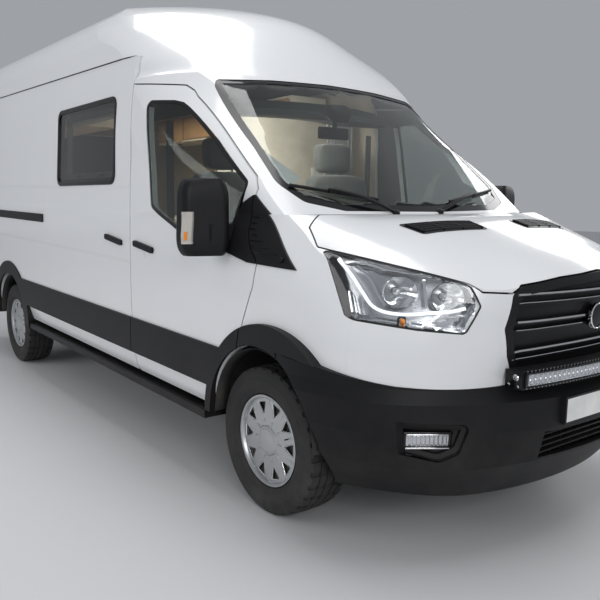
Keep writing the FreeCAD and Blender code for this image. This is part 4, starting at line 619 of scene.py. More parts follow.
def make_tyre(node, body):
    low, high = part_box(node)
    centre = (low + high) / 2
    half = (high.y - low.y) / 2
    outer = (high.z - low.z) / 2
    right = tyre_profile(half, outer, BEAD_RADIUS)
    points = right + [(-y, r) for y, r in reversed(right)]
    shape = ring_profile(bmesh.new(), points, centre, (0.0, 1.0, 0.0), TYRE_STEPS)
    bmesh.ops.recalc_face_normals(shape, faces=shape.faces)
    shoulder, ribs = [], []
    for face in shape.faces:
        middle = face.calc_center_median() - centre
        across = abs(middle.y)
        out = math.hypot(middle.x, middle.z)
        step = int(round((math.atan2(middle.z, middle.x) / (2 * math.pi) * TYRE_STEPS - 0.5))) % TYRE_STEPS
        if out > outer - 0.026 and 0.069 < across < 0.93 * half and (step + (middle.y > 0)) % 3 == 0:
            shoulder.append(face)
        elif out > outer - 0.006 and 0.028 < across < 0.056 and step % 6 in (0, 3):
            ribs.append(face)
    for faces, deep in ((shoulder, BLOCK_DEEP), (ribs, BLOCK_DEEP * 0.6)):
        bmesh.ops.inset_individual(shape, faces=faces, thickness=0.0012, depth=-deep)
    obj = finish_piece("tread_" + node, shape, tyre_rubber, body, "tyre_rubber", soft=math.radians(28.0))
    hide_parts(node)
    return obj


# %% [markdown]
# The wheel cover keeps its place from the model. On it lie a domed cap with ten flat
# points, raised ribs, bright frames round the windows and a lip, and a dark ring shows
# behind the windows. Points, ribs and frames are each one wedge, turned ten times about
# the axle. Cap, lip and ring are spun profiles, because they are round.

# %% Wheel covers
COVER_POINTS = 10
COVER_TURN = 2 * math.pi / COVER_POINTS


def turned_wedges(shape, outline, height, drop, centre, side, bevel, shift=0.0):
    """Extrudes a wedge outline of (radius, angle) outward and repeats it round the wheel."""
    for number in range(COVER_POINTS):
        turn = (number + shift) * COVER_TURN
        verts = []
        for radius, angle in outline:
            a = angle + turn
            verts.append(shape.verts.new((centre.x + radius * math.cos(a), centre.y + side * height(radius),
                                          centre.z + radius * math.sin(a))))
        face = shape.faces.new(verts)
        moved = new_verts(bmesh.ops.extrude_face_region(shape, geom=[face]))
        bmesh.ops.translate(shape, vec=(0.0, side * drop, 0.0), verts=moved)
        rim = list({e for v in moved for e in v.link_edges if all(w in moved for w in e.verts)})
        bmesh.ops.bevel(shape, geom=rim, offset=bevel, segments=2, profile=0.5,
                        affect="EDGES", material=-1)
    return shape


def cover_spin(shape, profile, centre, side, steps, close=True):
    """Spins a profile about the axle, with its first number outward from the wheel."""
    ring_profile(shape, [(side * a, r) for a, r in profile], centre, (0, 1, 0), steps, close)


def make_cover_star(centre, side, body, stub):
    star = bmesh.new()
    cap = ((0.0, 0.0), (0.0, 0.060), (0.0015, 0.058), (0.003, 0.052), (0.0032, 0.0))
    cover_spin(star, cap, centre, side, 60, close=False)
    tip = ((0.040, -0.13), (0.094, -0.055), (0.103, 0.0), (0.094, 0.055), (0.040, 0.13))
    turned_wedges(star, tip, lambda r: -0.0105 - 0.004 * (r > 0.05), 0.0085, centre, side, 0.0015)
    finish_piece("cover_star_" + stub, star, silver, body, "wheel_paint", merge=WELD)


def make_cover_ribs(centre, side, body, stub):
    ribs = bmesh.new()
    rib = ((0.090, -0.022), (0.200, -0.010), (0.200, 0.010), (0.090, 0.022))
    turned_wedges(ribs, rib, lambda r: -0.0205, 0.0085, centre, side, 0.0012, shift=0.5)
    lip = ((-0.019, 0.196), (-0.004, 0.200), (0.0008, 0.205), (0.0012, 0.209), (-0.001, 0.2135),
           (-0.019, 0.2145))
    cover_spin(ribs, lip, centre, side, 90)
    finish_piece("cover_ribs_" + stub, ribs, silver, body, "wheel_paint", merge=WELD)


def make_cover_frames(centre, side, body, stub):
    frames = bmesh.new()
    window = ((0.113, 0.0), (0.186, -0.185), (0.186, 0.185))
    for number in range(COVER_POINTS):
        rim = []
        for radius, angle in window:
            a = angle + number * COVER_TURN
            rim.append(Vector((centre.x + radius * math.cos(a), centre.y - side * 0.0125,
                               centre.z + radius * math.sin(a))))
        verts = [frames.verts.new(p) for p in rim]
        frames.faces.new(verts)
        round_corners(frames, verts, 0.008, 3)
        middle = (rim[0] + rim[1] + rim[2]) / 3
        near = [f for f in frames.faces if (f.calc_center_median() - middle).length < 0.03]
        face = max(near, key=lambda f: f.calc_area())
        bmesh.ops.inset_individual(frames, faces=[face], thickness=0.0035, depth=-0.006)
        bmesh.ops.delete(frames, geom=[face], context="FACES_ONLY")
    bright = finish_piece("cover_frames_" + stub, frames, chrome, body, "wheel_paint", merge=WELD)
    thicken(bright, 0.0012)


def make_well_and_valve(centre, side, body, stub):
    well = bmesh.new()
    dark = ((-0.034, 0.095), (-0.034, 0.196), (-0.032, 0.196), (-0.032, 0.095))
    cover_spin(well, dark, centre, side, 60)
    finish_piece("cover_well_" + stub, well, under_black, body, "wheel_paint")
    valve = bmesh.new()
    spot = centre + Vector((0.150 * math.cos(0.31), -side * 0.014, 0.150 * math.sin(0.31)))
    ring_profile(valve, ((0.0, 0.0), (0.0, 0.0035), (side * 0.020, 0.003), (side * 0.021, 0.0)), spot,
                 (0, 1, 0), 12, close=False)
    finish_piece("valve_" + stub, valve, rubber_seal, body, "black_plastic")


def make_cover_details(node, body, side, stub):
    low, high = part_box(node)
    face_y = high.y if side > 0 else low.y
    centre = Vector(((low.x + high.x) / 2, face_y, (low.z + high.z) / 2))
    for make in (make_cover_star, make_cover_ribs, make_cover_frames, make_well_and_valve):
        make(centre, side, body, stub)


BODY_OF = {name: obj["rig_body"] for name, obj in nodes.items()}

for side_name, sign in SIDES:
    for end in ("front", "rear"):
        stub = end + "_" + side_name
        make_tyre("tyre_" + stub, BODY_OF["tyre_" + stub])
        make_cover_details("wheel_" + stub, BODY_OF["wheel_" + stub], sign, stub)
print("wheels dressed", TYRE_STEPS, "steps")

# %% [markdown]
# Small parts have to sit on curved panels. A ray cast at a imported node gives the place
# and the outward direction of its surface there, so each fitting finds its own seat.

# %% Seats on curved panels
TREES = {}


def cast(node, start, direction):
    """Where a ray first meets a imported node: the place and the direction facing the ray's start."""
    if node not in TREES:
        shape = bmesh.new()
        shape.from_mesh(nodes[node].data)
        TREES[node] = BVHTree.FromBMesh(shape)
        shape.free()
    direction = Vector(direction).normalized()
    place, normal, _, _ = TREES[node].ray_cast(Vector(start), direction)
    if place is None:
        return None, None
    return place, (-normal if normal.dot(direction) > 0.0 else normal)


def from_side(node, x, z, sign=1):
    return cast(node, (x, 3.0 * sign, z), (0.0, -sign, 0.0))


def from_front(node, y, z):
    return cast(node, (4.0, y, z), (-1.0, 0.0, 0.0))


def from_above(node, x, y):
    return cast(node, (x, y, 4.0), (0.0, 0.0, -1.0))


def skin_of(node, outward, facing=0.45, keep=None):
    """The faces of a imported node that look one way, as a new merged bmesh."""
    outward = Vector(outward).normalized()
    shape = bmesh.new()
    shape.from_mesh(nodes[node].data)
    bmesh.ops.remove_doubles(shape, verts=shape.verts, dist=0.00002)
    shape.normal_update()
    away = [f for f in shape.faces if f.normal.dot(outward) < facing
            or (keep and not keep(f.calc_center_median()))]
    bmesh.ops.delete(shape, geom=away, context="FACES")
    return shape


def sweep(shape, path, outline, closed=False):
    """Carries an outline (across, out) along a path of (place, out direction) and skins it."""
    rings = []
    count = len(path)
    for i, (place, out) in enumerate(path):
        before = path[(i - 1) % count if closed else max(i - 1, 0)][0]
        after = path[(i + 1) % count if closed else min(i + 1, count - 1)][0]
        along = (after - before).normalized()
        across = along.cross(out).normalized()
        rings.append([shape.verts.new(place + across * a + out * b) for a, b in outline])
    loops = []
    for ring in rings:
        loops.append([shape.edges.new((ring[i], ring[(i + 1) % len(ring)])) for i in range(len(ring))])
    pairs = list(zip(loops, loops[1:])) + ([(loops[-1], loops[0])] if closed else [])
    for first, second in pairs:
        bmesh.ops.bridge_loops(shape, edges=first + second)
    if not closed:
        shape.faces.new(rings[0])
        shape.faces.new(rings[-1])
    return shape


def box_outline(wide, tall, base=0.0):
    return ((-wide / 2, base), (wide / 2, base), (wide / 2, base + tall), (-wide / 2, base + tall))


def smooth_path(points, steps=6):
    """A rounder path through (place, out) pairs."""
    result = []
    count = len(points)
    for i in range(count - 1):
        p0, p1, p2, p3 = (points[max(i - 1, 0)], points[i], points[i + 1], points[min(i + 2, count - 1)])
        for k in range(steps):
            t = k / steps
            spots = []
            for part in (0, 1):
                a, b, c, d = p0[part], p1[part], p2[part], p3[part]
                spots.append(0.5 * (2 * b + (c - a) * t + (2 * a - 5 * b + 4 * c - d) * t * t
                                    + (3 * b - a - 3 * c + d) * t ** 3))
            result.append((spots[0], spots[1].normalized()))
    result.append(points[-1])
    return result


print("seat helpers ready")

# %% [markdown]
# A headlamp is a clear skin over a chromed bowl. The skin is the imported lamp's own
# outer surface with a wall from Solidify. The rubber rim is that skin inset, with its
# middle taken out, and the bowl is that skin pushed in. All three could be modelled
# apart, but copies of one surface stay flush with the wing. One side is mirrored.

# %% Headlamp skin, rim and shell
LAMP_OUT = Vector((0.6, 0.8, 0.0))
LAMP_ALONG = Vector((0.8, -0.6, 0.0))
LAMP_DEEP = 0.085
LAMP_WALL = 0.0025
LAMP_RIM = 0.007


def lamp_skin():
    return skin_of("headlamps", LAMP_OUT, keep=lambda p: p.y > 0.0)


def make_lamp_lens():
    left, right = both_sides("lamp_lens", lamp_skin(), clear_lens, "root", "lamp_lens")
    thicken(left, LAMP_WALL)
    thicken(right, LAMP_WALL)
    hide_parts("headlamps")


def make_lamp_rim():
    rim = lamp_skin()
    inner = list(rim.faces)
    bmesh.ops.inset_region(rim, faces=inner, thickness=LAMP_RIM, use_even_offset=True, use_boundary=True)
    bmesh.ops.delete(rim, geom=inner, context="FACES")
    bmesh.ops.translate(rim, vec=LAMP_OUT * 0.0012, verts=rim.verts)
    both_sides("lamp_rim", rim, rubber_seal, "root", "black_plastic")


def make_lamp_shell():
    shell = lamp_skin()
    front = list(shell.faces)
    bmesh.ops.translate(shell, vec=-LAMP_OUT * 0.004, verts=shell.verts)
    moved = new_verts(bmesh.ops.extrude_face_region(shell, geom=front))
    bmesh.ops.delete(shell, geom=[f for f in front if f.is_valid], context="FACES_ONLY")
    middle = sum((v.co for v in moved), Vector()) / len(moved)
    for vert in moved:
        vert.co = middle + (vert.co - middle) * 0.90 - LAMP_OUT * LAMP_DEEP
    both_sides("lamp_shell", shell, lamp_chrome, "root", "lamp_lens")


lamp_chrome = make_metal("lamp_chrome", (0.62, 0.63, 0.65, 1.0), 0.10, 120.0, 0.25)
make_lamp_lens()
make_lamp_rim()
make_lamp_shell()
print("lamp skins made, bowl", LAMP_DEEP, "deep")

# %% [markdown]
# Behind the lens sit two dished reflectors, each a profile spun about the beam. Each
# has a small cap over its bulb, and the outer one has three bars. Flattening the dish
# after the spin gives it the oval mouth of the real one.

# %% Headlamp reflectors
BEAM = (0.90, 0.42, 0.04)


def on_lamp(along, z, deep):
    """A place some way behind the lamp's skin, and the skin's outward direction."""
    level = LAMP_ALONG * along + Vector((0.0, 0.0, z))
    place, out = cast("headlamps", level + LAMP_OUT * 3.0, -LAMP_OUT)
    if place is None:
        place, out = level + LAMP_OUT * 2.0, LAMP_OUT
    return place - out * deep, out


def make_bowl(shape, centre, axis, radius, deep, tall=0.86):
    """A dished reflector that opens along its axis."""
    axis = Vector(axis).normalized()
    profile = [(-deep, 0.0), (-deep * 0.97, radius * 0.18), (-deep * 0.72, radius * 0.52),
               (-deep * 0.36, radius * 0.82), (0.0, radius), (0.004, radius * 1.06), (-0.004, radius * 1.10)]
    before = set(shape.verts)
    ring_profile(shape, profile, centre, axis, 40, close=False)
    made = [v for v in shape.verts if v not in before]
    bmesh.ops.translate(shape, vec=-Vector(centre), verts=made)
    bmesh.ops.scale(shape, vec=(1.0, 1.0, tall), verts=made)
    bmesh.ops.translate(shape, vec=Vector(centre), verts=made)


def make_reflectors():
    near, far = on_lamp(1.600, 1.108, 0.030)[0], on_lamp(1.782, 1.092, 0.030)[0]
    bowls, caps = bmesh.new(), bmesh.new()
    make_bowl(bowls, near, BEAM, 0.066, 0.052)
    make_bowl(bowls, far, BEAM, 0.062, 0.050)
    both_sides("lamp_bowls", bowls, chrome, "root", "lamp_lens")
    aim = Vector(BEAM).normalized()
    for centre in (near, far):
        ring_profile(caps, ((-0.030, 0.0), (-0.030, 0.013), (-0.006, 0.013), (0.002, 0.009), (0.004, 0.0)),
                     centre - aim * 0.014, aim, 20, close=False)
    for level in (-0.016, 0.0, 0.016):
        at = far - aim * 0.004 + Vector((0.0, 0.0, level))
        block(caps, at + Vector((-0.004, -0.026, -0.0022)), at + Vector((0.004, 0.026, 0.0022)), 0.0008)
    both_sides("lamp_caps", caps, silver, "root", "lamp_lens")


make_reflectors()
print("reflectors made")

# %% [markdown]
# The daytime lamp is an L-shaped light guide. A box outline is swept along points cast
# onto the lamp's skin, so it follows the skin's curve from behind. Stepped chrome trim
# is made the same way, and a small amber bulb sits in a black collar.

# %% Daytime lamp, trim and bulb
DAY_RUN = ((1.345, 1.222), (1.405, 1.160), (1.455, 1.098), (1.500, 1.048), (1.560, 1.026),
           (1.640, 1.022), (1.720, 1.030), (1.790, 1.036), (1.850, 1.050))
OUTER_TRIM = ((1.425, 1.205), (1.480, 1.150), (1.520, 1.090), (1.548, 1.054))
MIDDLE_TRIM = ((1.690, 1.170), (1.694, 1.120), (1.705, 1.060))


def lamp_run(points, deep):
    return [on_lamp(along, z, deep) for along, z in points]


def make_lamp_strips():
    strip, trim = bmesh.new(), bmesh.new()
    sweep(strip, smooth_path(lamp_run(DAY_RUN, 0.014)), box_outline(0.013, 0.009, -0.004))
    both_sides("day_strip", strip, lamp_white, "root", "lamp_lens")
    sweep(trim, smooth_path(lamp_run(OUTER_TRIM, 0.018)), box_outline(0.010, 0.007, -0.004))
    sweep(trim, smooth_path(lamp_run(MIDDLE_TRIM, 0.030)), box_outline(0.012, 0.030, -0.026))
    for row in range(4):
        bar = ((1.415 + 0.02 * row, 1.020), (1.395 + 0.02 * row, 1.100 - 0.012 * row))
        sweep(trim, lamp_run(bar, 0.030), box_outline(0.006, 0.016, -0.008))
    for row in range(3):
        bar = ((1.745, 1.008 - 0.016 * row), (1.850 - 0.02 * row, 1.022 - 0.016 * row))
        sweep(trim, lamp_run(bar, 0.024), box_outline(0.008, 0.018, -0.010))
    both_sides("lamp_trim", trim, chrome, "root", "lamp_lens")


def make_lamp_bulb():
    bulb, collar = bmesh.new(), bmesh.new()
    aim = Vector(BEAM).normalized()
    at, _ = on_lamp(1.622, 0.999, 0.024)
    ring_profile(bulb, ((-0.012, 0.0), (-0.012, 0.008), (0.002, 0.009), (0.009, 0.006), (0.012, 0.0)),
                 at, aim, 20, close=False)
    both_sides("amber_bulb", bulb, amber_bulb, "root", "lamp_lens")
    ring_profile(collar, ((-0.02, 0.017), (-0.014, 0.019), (-0.010, 0.012), (-0.02, 0.010)), at, aim, 20)
    both_sides("bulb_collar", collar, gloss_black, "root", "lamp_lens")


lamp_white = new_material("lamp_white", Base_Color=(0.86, 0.88, 0.90, 1.0), Roughness=0.12,
                          Emission_Color=(0.9, 0.95, 1.0, 1.0), Emission_Strength=0.35)[0]
amber_bulb = new_material("amber_bulb", Base_Color=(0.80, 0.24, 0.01, 1.0), Roughness=0.08,
                          Coat_Weight=1.0)[0]
make_lamp_strips()
make_lamp_bulb()
print("headlamps made")

# %% [markdown]
# The grille's middle holds a round, bare boss in a bright ring: two profiles spun
# about the van's length. Bright metal strips along the bars' edges stand in for painted
# highlights, the reflections that the gloss bars show. Each strip is swept along points
# cast from the front, and a point that falls into a gap between the bars lies too far
# back, so it is left out.

# %% Grille boss and painted highlight strips
BOSS_Z = 0.983
BOSS_RADIUS = 0.052
GRILLE_LEVELS = (0.854, 0.971, 1.077)
GRILLE_STEP = 0.017
GRILLE_HALF = 0.47
GRILLE_FRONT = 2.80


def make_boss():
    place, _ = from_front("grille", 0.0, BOSS_Z + 0.002)
    place = Vector((max(place.x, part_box("grille")[1].x - 0.012), 0.0, BOSS_Z))
    disc, ring = bmesh.new(), bmesh.new()
    ring_profile(disc, ((-0.045, 0.0), (-0.045, 0.040), (0.004, BOSS_RADIUS * 0.93),
                        (0.010, BOSS_RADIUS * 0.80), (0.012, 0.0)), place, (1, 0, 0), 60, close=False)
    finish_piece("grille_boss", disc, gloss_black, "root", "black_plastic", merge=WELD)
    ring_profile(ring, ((0.000, BOSS_RADIUS * 0.90), (0.012, BOSS_RADIUS * 0.92), (0.015, BOSS_RADIUS * 0.98),
                        (0.012, BOSS_RADIUS * 1.05), (0.000, BOSS_RADIUS * 1.06)), place, (1, 0, 0), 60)
    finish_piece("boss_ring", ring, chrome, "root", "black_plastic")


def grille_run(y0, y1, z):
    """Points along a bar's front, with those that fell behind it left out."""
    run = []
    for t in range(25):
        place, _ = from_front("grille", y0 + (y1 - y0) * t / 24, z)
        if place is not None and place.x > GRILLE_FRONT:
            run.append((place, Vector((1.0, 0.0, 0.25)).normalized()))
    steady = run[:1]
    for spot in run[1:]:
        if abs(spot[0].x - steady[-1][0].x) < 0.016:
            steady.append(spot)
    return steady


def make_painted_highlight_strips():
    """Painted highlights: bright strips on the upper bar of each pair and a thin one on the lower bar."""
    bright = bmesh.new()
    for level in GRILLE_LEVELS:
        for step, tall, proud in ((GRILLE_STEP + 0.003, 0.0055, 0.0050),
                                  (-GRILLE_STEP + 0.005, 0.0022, 0.0030)):
            spans = ((-GRILLE_HALF, GRILLE_HALF),)
            if abs(level - BOSS_Z) <= 0.06:
                spans = ((-GRILLE_HALF, -0.075), (0.075, GRILLE_HALF))
            for y0, y1 in spans:
                run = grille_run(y0, y1, level + step)
                if len(run) > 6:
                    sweep(bright, run, ((-tall, -0.001), (tall, -0.001), (tall * 0.6, proud),
                                        (-tall * 0.6, proud)))
    finish_piece("grille_highlight_strips", bright, painted_highlight_metal, "root", "black_plastic")


make_boss()
# Bright metal for the strips that stand in for painted highlights on the grille bars.
painted_highlight_metal = make_metal("painted_highlight_metal", (0.72, 0.72, 0.73, 1.0), 0.24, 200.0, 0.1)
make_painted_highlight_strips()
print("grille dressed at", len(GRILLE_LEVELS), "levels")

# %% [markdown]
# A fog lamp sits in a five-sided recess of the bumper. The recess is one face with
# rounded corners, stepped inward by repeated insets, which is shorter than modelling
# each step. The lamp in it is turned to the bumper's slope, so its blocks are made in
# a local frame and carried there by a matrix.

# %% Fog lamps
FOG_CORNERS = ((0.882, 0.616), (0.640, 0.597), (0.678, 0.490), (0.742, 0.456), (0.858, 0.490))
FOG_STEPS = ((0.004, -0.012), (0.018, -0.004), (0.004, -0.016), (0.014, -0.002), (0.003, -0.008))
FOG_ALONG = Vector((0.563, -0.826, 0.0))
FOG_OUT = Vector((0.826, 0.563, 0.0))


def local_frame(origin, along, up):
    """A matrix whose X runs along and Z up."""
    along, up = Vector(along).normalized(), Vector(up).normalized()
    away = up.cross(along).normalized()
    up = along.cross(away).normalized()
    return Matrix.Translation(Vector(origin)) @ Matrix((along, away, up)).transposed().to_4x4()


def outward_sign(seat, out):
    """Whether a local frame's Y runs outward, as 1 or -1."""
    return 1.0 if (seat.to_3x3() @ Vector((0, 1, 0))).dot(out) > 0.0 else -1.0


def local_block(shape, seat, low, high, round_by=0.0, segments=2):
    """A rounded box made in a local frame."""
    before = set(shape.verts)
    block(shape, low, high, round_by, segments)
    made = [v for v in shape.verts if v not in before]
    bmesh.ops.transform(shape, matrix=seat, verts=made)


def make_fog_recess():
    middle = Vector((sum(c[0] for c in FOG_CORNERS) / 5, sum(c[1] for c in FOG_CORNERS) / 5))
    panel = bmesh.new()
    verts = []
    for y, z in FOG_CORNERS:
        spot = Vector((y, z))
        past = spot + (spot - middle).normalized() * 0.016
        place, _ = from_front("front_bumper", past.x, past.y)
        verts.append(panel.verts.new((place.x - 0.004, y, z)))
    panel.faces.new(verts)
    round_corners(panel, verts, 0.022, 4)
    face = max(panel.faces, key=lambda f: f.calc_area())
    if face.normal.x < 0.0:
        face.normal_flip()
    for thick, deep in FOG_STEPS:
        bmesh.ops.inset_individual(panel, faces=[face], thickness=thick, depth=deep, use_even_offset=True)
    both_sides("fog_recess", panel, bumper_black, "root", "bumper_plastic")


def make_fog_lamps():
    seat = local_frame(Vector((2.742, 0.765, 0.532)) - FOG_OUT * 0.026, FOG_ALONG, (0.0, 0.0, 1.0))
    way = outward_sign(seat, FOG_OUT)
    bezel, cup, prisms, line = bmesh.new(), bmesh.new(), bmesh.new(), bmesh.new()
    local_block(bezel, seat, (-0.098, -0.014, -0.036), (0.098, 0.014, 0.036), 0.009, 3)
    both_sides("fog_bezel", bezel, gloss_black, "root", "lamp_lens")
    shift = Vector((0.0, way * 0.008, 0.0))
    local_block(cup, seat, Vector((-0.084, -0.008, -0.024)) + shift, Vector((0.084, 0.008, 0.026)) + shift,
                0.005)
    both_sides("fog_cup", cup, lamp_chrome, "root", "lamp_lens")
    for number in range(9):
        low = Vector((-0.076 + 0.0170 * number, way * 0.0195 - 0.004, -0.019))
        local_block(prisms, seat, low, low + Vector((0.0155, 0.008, 0.040)), 0.003)
    both_sides("fog_prisms", prisms, clear_lens, "root", "lamp_lens")
    low = Vector((-0.086, way * 0.018 - 0.003, -0.033))
    local_block(line, seat, low, low + Vector((0.172, 0.006, 0.006)), 0.002)
    both_sides("fog_line", line, chrome, "root", "lamp_lens")


make_fog_recess()
make_fog_lamps()
print("fog lamps made")

# %% [markdown]
# The light bar is one long row of small mirrored cells behind a clear cover. Each cell
# is a square seated on the bar's bowed face by a ray, then inset twice, which dishes
# it. Looping over seats keeps the row true to the bow, where an array would run
# straight.

# %% Light bar
BAR_LEVEL = 0.777
BAR_HALF = 0.478
BAR_CELLS = 34
BAR_SCREWS = 46
BRACKET_Y = 0.4930


def bar_run(level=BAR_LEVEL):
    return [from_front("light_bar", -BAR_HALF + 2.0 * BAR_HALF * t / 40, level) for t in range(41)]


def make_bar_cells():
    pitch = 2.0 * (BAR_HALF - 0.012) / BAR_CELLS
    cells, chips = bmesh.new(), bmesh.new()
    for number in range(BAR_CELLS):
        place, out = from_front("light_bar", -BAR_HALF + 0.012 + pitch * (number + 0.5), BAR_LEVEL)
        seat = local_frame(place, (-out.y, out.x, 0.0), (0.0, 0.0, 1.0))
        way = outward_sign(seat, out)
        verts = [cells.verts.new(seat @ Vector((a * pitch / 2, way * 0.0052, b * 0.022)))
                 for a, b in ((-1, -1), (1, -1), (1, 1), (-1, 1))]
        face = cells.faces.new(verts)
        face.normal_update()
        if face.normal.dot(out) < 0.0:
            face.normal_flip()
        for thick, deep in ((0.0022, 0.0), (0.0070, -0.0044)):
            bmesh.ops.inset_individual(cells, faces=[face], thickness=thick, depth=deep)
        local_block(chips, seat, Vector((-0.0035, way * 0.0012 - 0.0012, -0.0035)),
                    Vector((0.0035, way * 0.0012 + 0.0012, 0.0035)), 0.001)
    finish_piece("bar_cells", cells, lamp_chrome, "root", "lamp_lens", soft=0.0, merge=WELD)
    finish_piece("bar_chips", chips, lamp_white, "root", "lamp_lens")


def make_bar_cover():
    cover, rims, screws = bmesh.new(), bmesh.new(), bmesh.new()
    sweep(cover, bar_run(), ((-0.0240, 0.0056), (0.0240, 0.0056), (0.0232, 0.0076), (-0.0232, 0.0076)))
    finish_piece("bar_cover", cover, clear_lens, "root", "lamp_lens")
    for step in (-0.0275, 0.0275):
        sweep(rims, bar_run(BAR_LEVEL + step),
              ((-0.0032, -0.001), (0.0032, -0.001), (0.0024, 0.0082), (-0.0024, 0.0082)))
    for y in (-BAR_HALF, BAR_HALF):
        place, _ = from_front("light_bar", y, BAR_LEVEL)
        block(rims, place - Vector((0.002, 0.004, 0.030)), place + Vector((0.0085, 0.004, 0.030)), 0.001)
    finish_piece("bar_rims", rims, gloss_black, "root", "black_plastic")
    for step in (-0.0335, 0.0335):
        for number in range(BAR_SCREWS):
            place, out = from_front("light_bar", -0.466 + 0.0207 * number, BAR_LEVEL + step)
            if place is not None:
                ring_profile(screws, ((-0.001, 0.0), (-0.001, 0.0028), (0.0004, 0.0028), (0.0007, 0.0)),
                             place, out, 8, close=False)
    finish_piece("bar_screws", screws, silver, "root", "black_plastic")


def make_bar_brackets():
    bracket, bolt = bmesh.new(), bmesh.new()
    block(bracket, (2.876, 0.4885, 0.741), (2.950, 0.4935, 0.812), 0.002)
    both_sides("bar_bracket", bracket, gloss_black, "root", "black_plastic")
    ring_profile(bolt, ((0.0, 0.013), (0.005, 0.013), (0.008, 0.010), (0.008, 0.0)),
                 (2.925, BRACKET_Y, 0.785), (0, 1, 0), 24, close=False)
    for x, z in ((2.895, 0.755), (2.935, 0.752)):
        ring_profile(bolt, ((0.0, 0.005), (0.003, 0.005), (0.004, 0.0)), (x, BRACKET_Y, z), (0, 1, 0), 12,
                     close=False)
    both_sides("bar_bolt", bolt, chrome, "root", "black_plastic")


make_bar_cells()
make_bar_cover()
make_bar_brackets()
print("light bar with", BAR_CELLS, "cells")

# %% [markdown]
# The plate is blank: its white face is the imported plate's front, trimmed by four
# planes and lifted a little. Under it the bumper's intake has rounded slats.

# %% Front plate and intake
PLATE_EDGES = (((0, -0.232, 0), (0, -1, 0)), ((0, 0.232, 0), (0, 1, 0)),
               ((0, 0, 0.576), (0, 0, -1)), ((0, 0, 0.672), (0, 0, 1)))


def make_plates():
    face = skin_of("number_plate", (1.0, 0.0, 0.0), 0.5)
    bmesh.ops.translate(face, vec=(0.0009, 0.0, 0.0), verts=face.verts)
    for place, away in PLATE_EDGES:
        cut_by_plane(face, place, away)
    finish_piece("plate_face_front", face, plate_white, BODY_OF["number_plate"], "black_plastic")
    slats = bmesh.new()
    for level in (0.450, 0.474, 0.498, 0.522):
        block(slats, (2.870, -0.324, level - 0.004), (2.930, 0.324, level + 0.004), 0.0015)
    for number in range(9):
        y = -0.28 + 0.07 * number
        block(slats, (2.868, y - 0.003, 0.428), (2.915, y + 0.003, 0.547), 0.001)
    block(slats, (2.842, -0.324, 0.426), (2.868, 0.324, 0.549))
    finish_piece("intake_slats", slats, bumper_black, "root", "bumper_plastic")


make_plates()
print("nose dressed")

# %% [markdown]
# The bonnet carries two louvred vents. Each vent is a flat outline dropped onto the
# bonnet, thickened, with slats swept across it. The wipers lie on the glass: their
# blades and arms are outlines carried along points cast onto the windscreen.

# %% Bonnet vents and wipers
VENT_CORNERS = ((2.339, 0.548), (2.403, 0.144), (2.514, 0.149), (2.470, 0.527))
ARM_HOLD = 0.45


def on_bonnet(x, y, lift):
    place, out = from_above("bonnet", x, y)
    return place + out * lift, out


def vent_point(across, along):
    """A place in the vent: across from rear to front edge, along from outside to middle."""
    a, b, c, d = (Vector(p) for p in VENT_CORNERS)
    spot = (a.lerp(b, along)).lerp(d.lerp(c, along), across)
    return spot.x, spot.y


def make_vents():
    plate = bmesh.new()
    corners = [plate.verts.new((x, y, 1.3)) for x, y in VENT_CORNERS]
    plate.faces.new(corners)
    round_corners(plate, corners, 0.020, 4)
    bmesh.ops.triangulate(plate, faces=plate.faces)
    bmesh.ops.subdivide_edges(plate, edges=plate.edges, cuts=5, use_grid_fill=True)
    for vert in plate.verts:
        vert.co = on_bonnet(vert.co.x, vert.co.y, 0.0006)[0]
    bmesh.ops.recalc_face_normals(plate, faces=plate.faces)
    if sum(f.normal.z for f in plate.faces) < 0.0:
        bmesh.ops.reverse_faces(plate, faces=plate.faces)
    top = new_verts(bmesh.ops.extrude_face_region(plate, geom=list(plate.faces)))
    bmesh.ops.translate(plate, vec=(0.0, 0.0, 0.0022), verts=top)
    both_sides("vent_plate", plate, gloss_black, BODY_OF["bonnet"], "black_plastic", merge=WELD)
    louvres = bmesh.new()
    for row in range(5):
        across = 0.16 + 0.165 * row
        run = [on_bonnet(*vent_point(across, t / 12), 0.0015) for t in range(1, 12)]
        sweep(louvres, run, ((-0.0075, 0.0), (0.0075, 0.0), (0.0035, 0.0068), (-0.001, 0.0070)))
    for column in (0.06, 0.355, 0.645, 0.94):
        run = [on_bonnet(*vent_point(t / 8, column), 0.0015) for t in range(1, 8)]
        sweep(louvres, run, box_outline(0.006, 0.0072))
    both_sides("vent_louvres", louvres, trim_black, BODY_OF["bonnet"], "black_plastic")


def on_glass(y, z, lift):
    place, out = from_front("windscreen", y, z)
    return place + out * lift, out


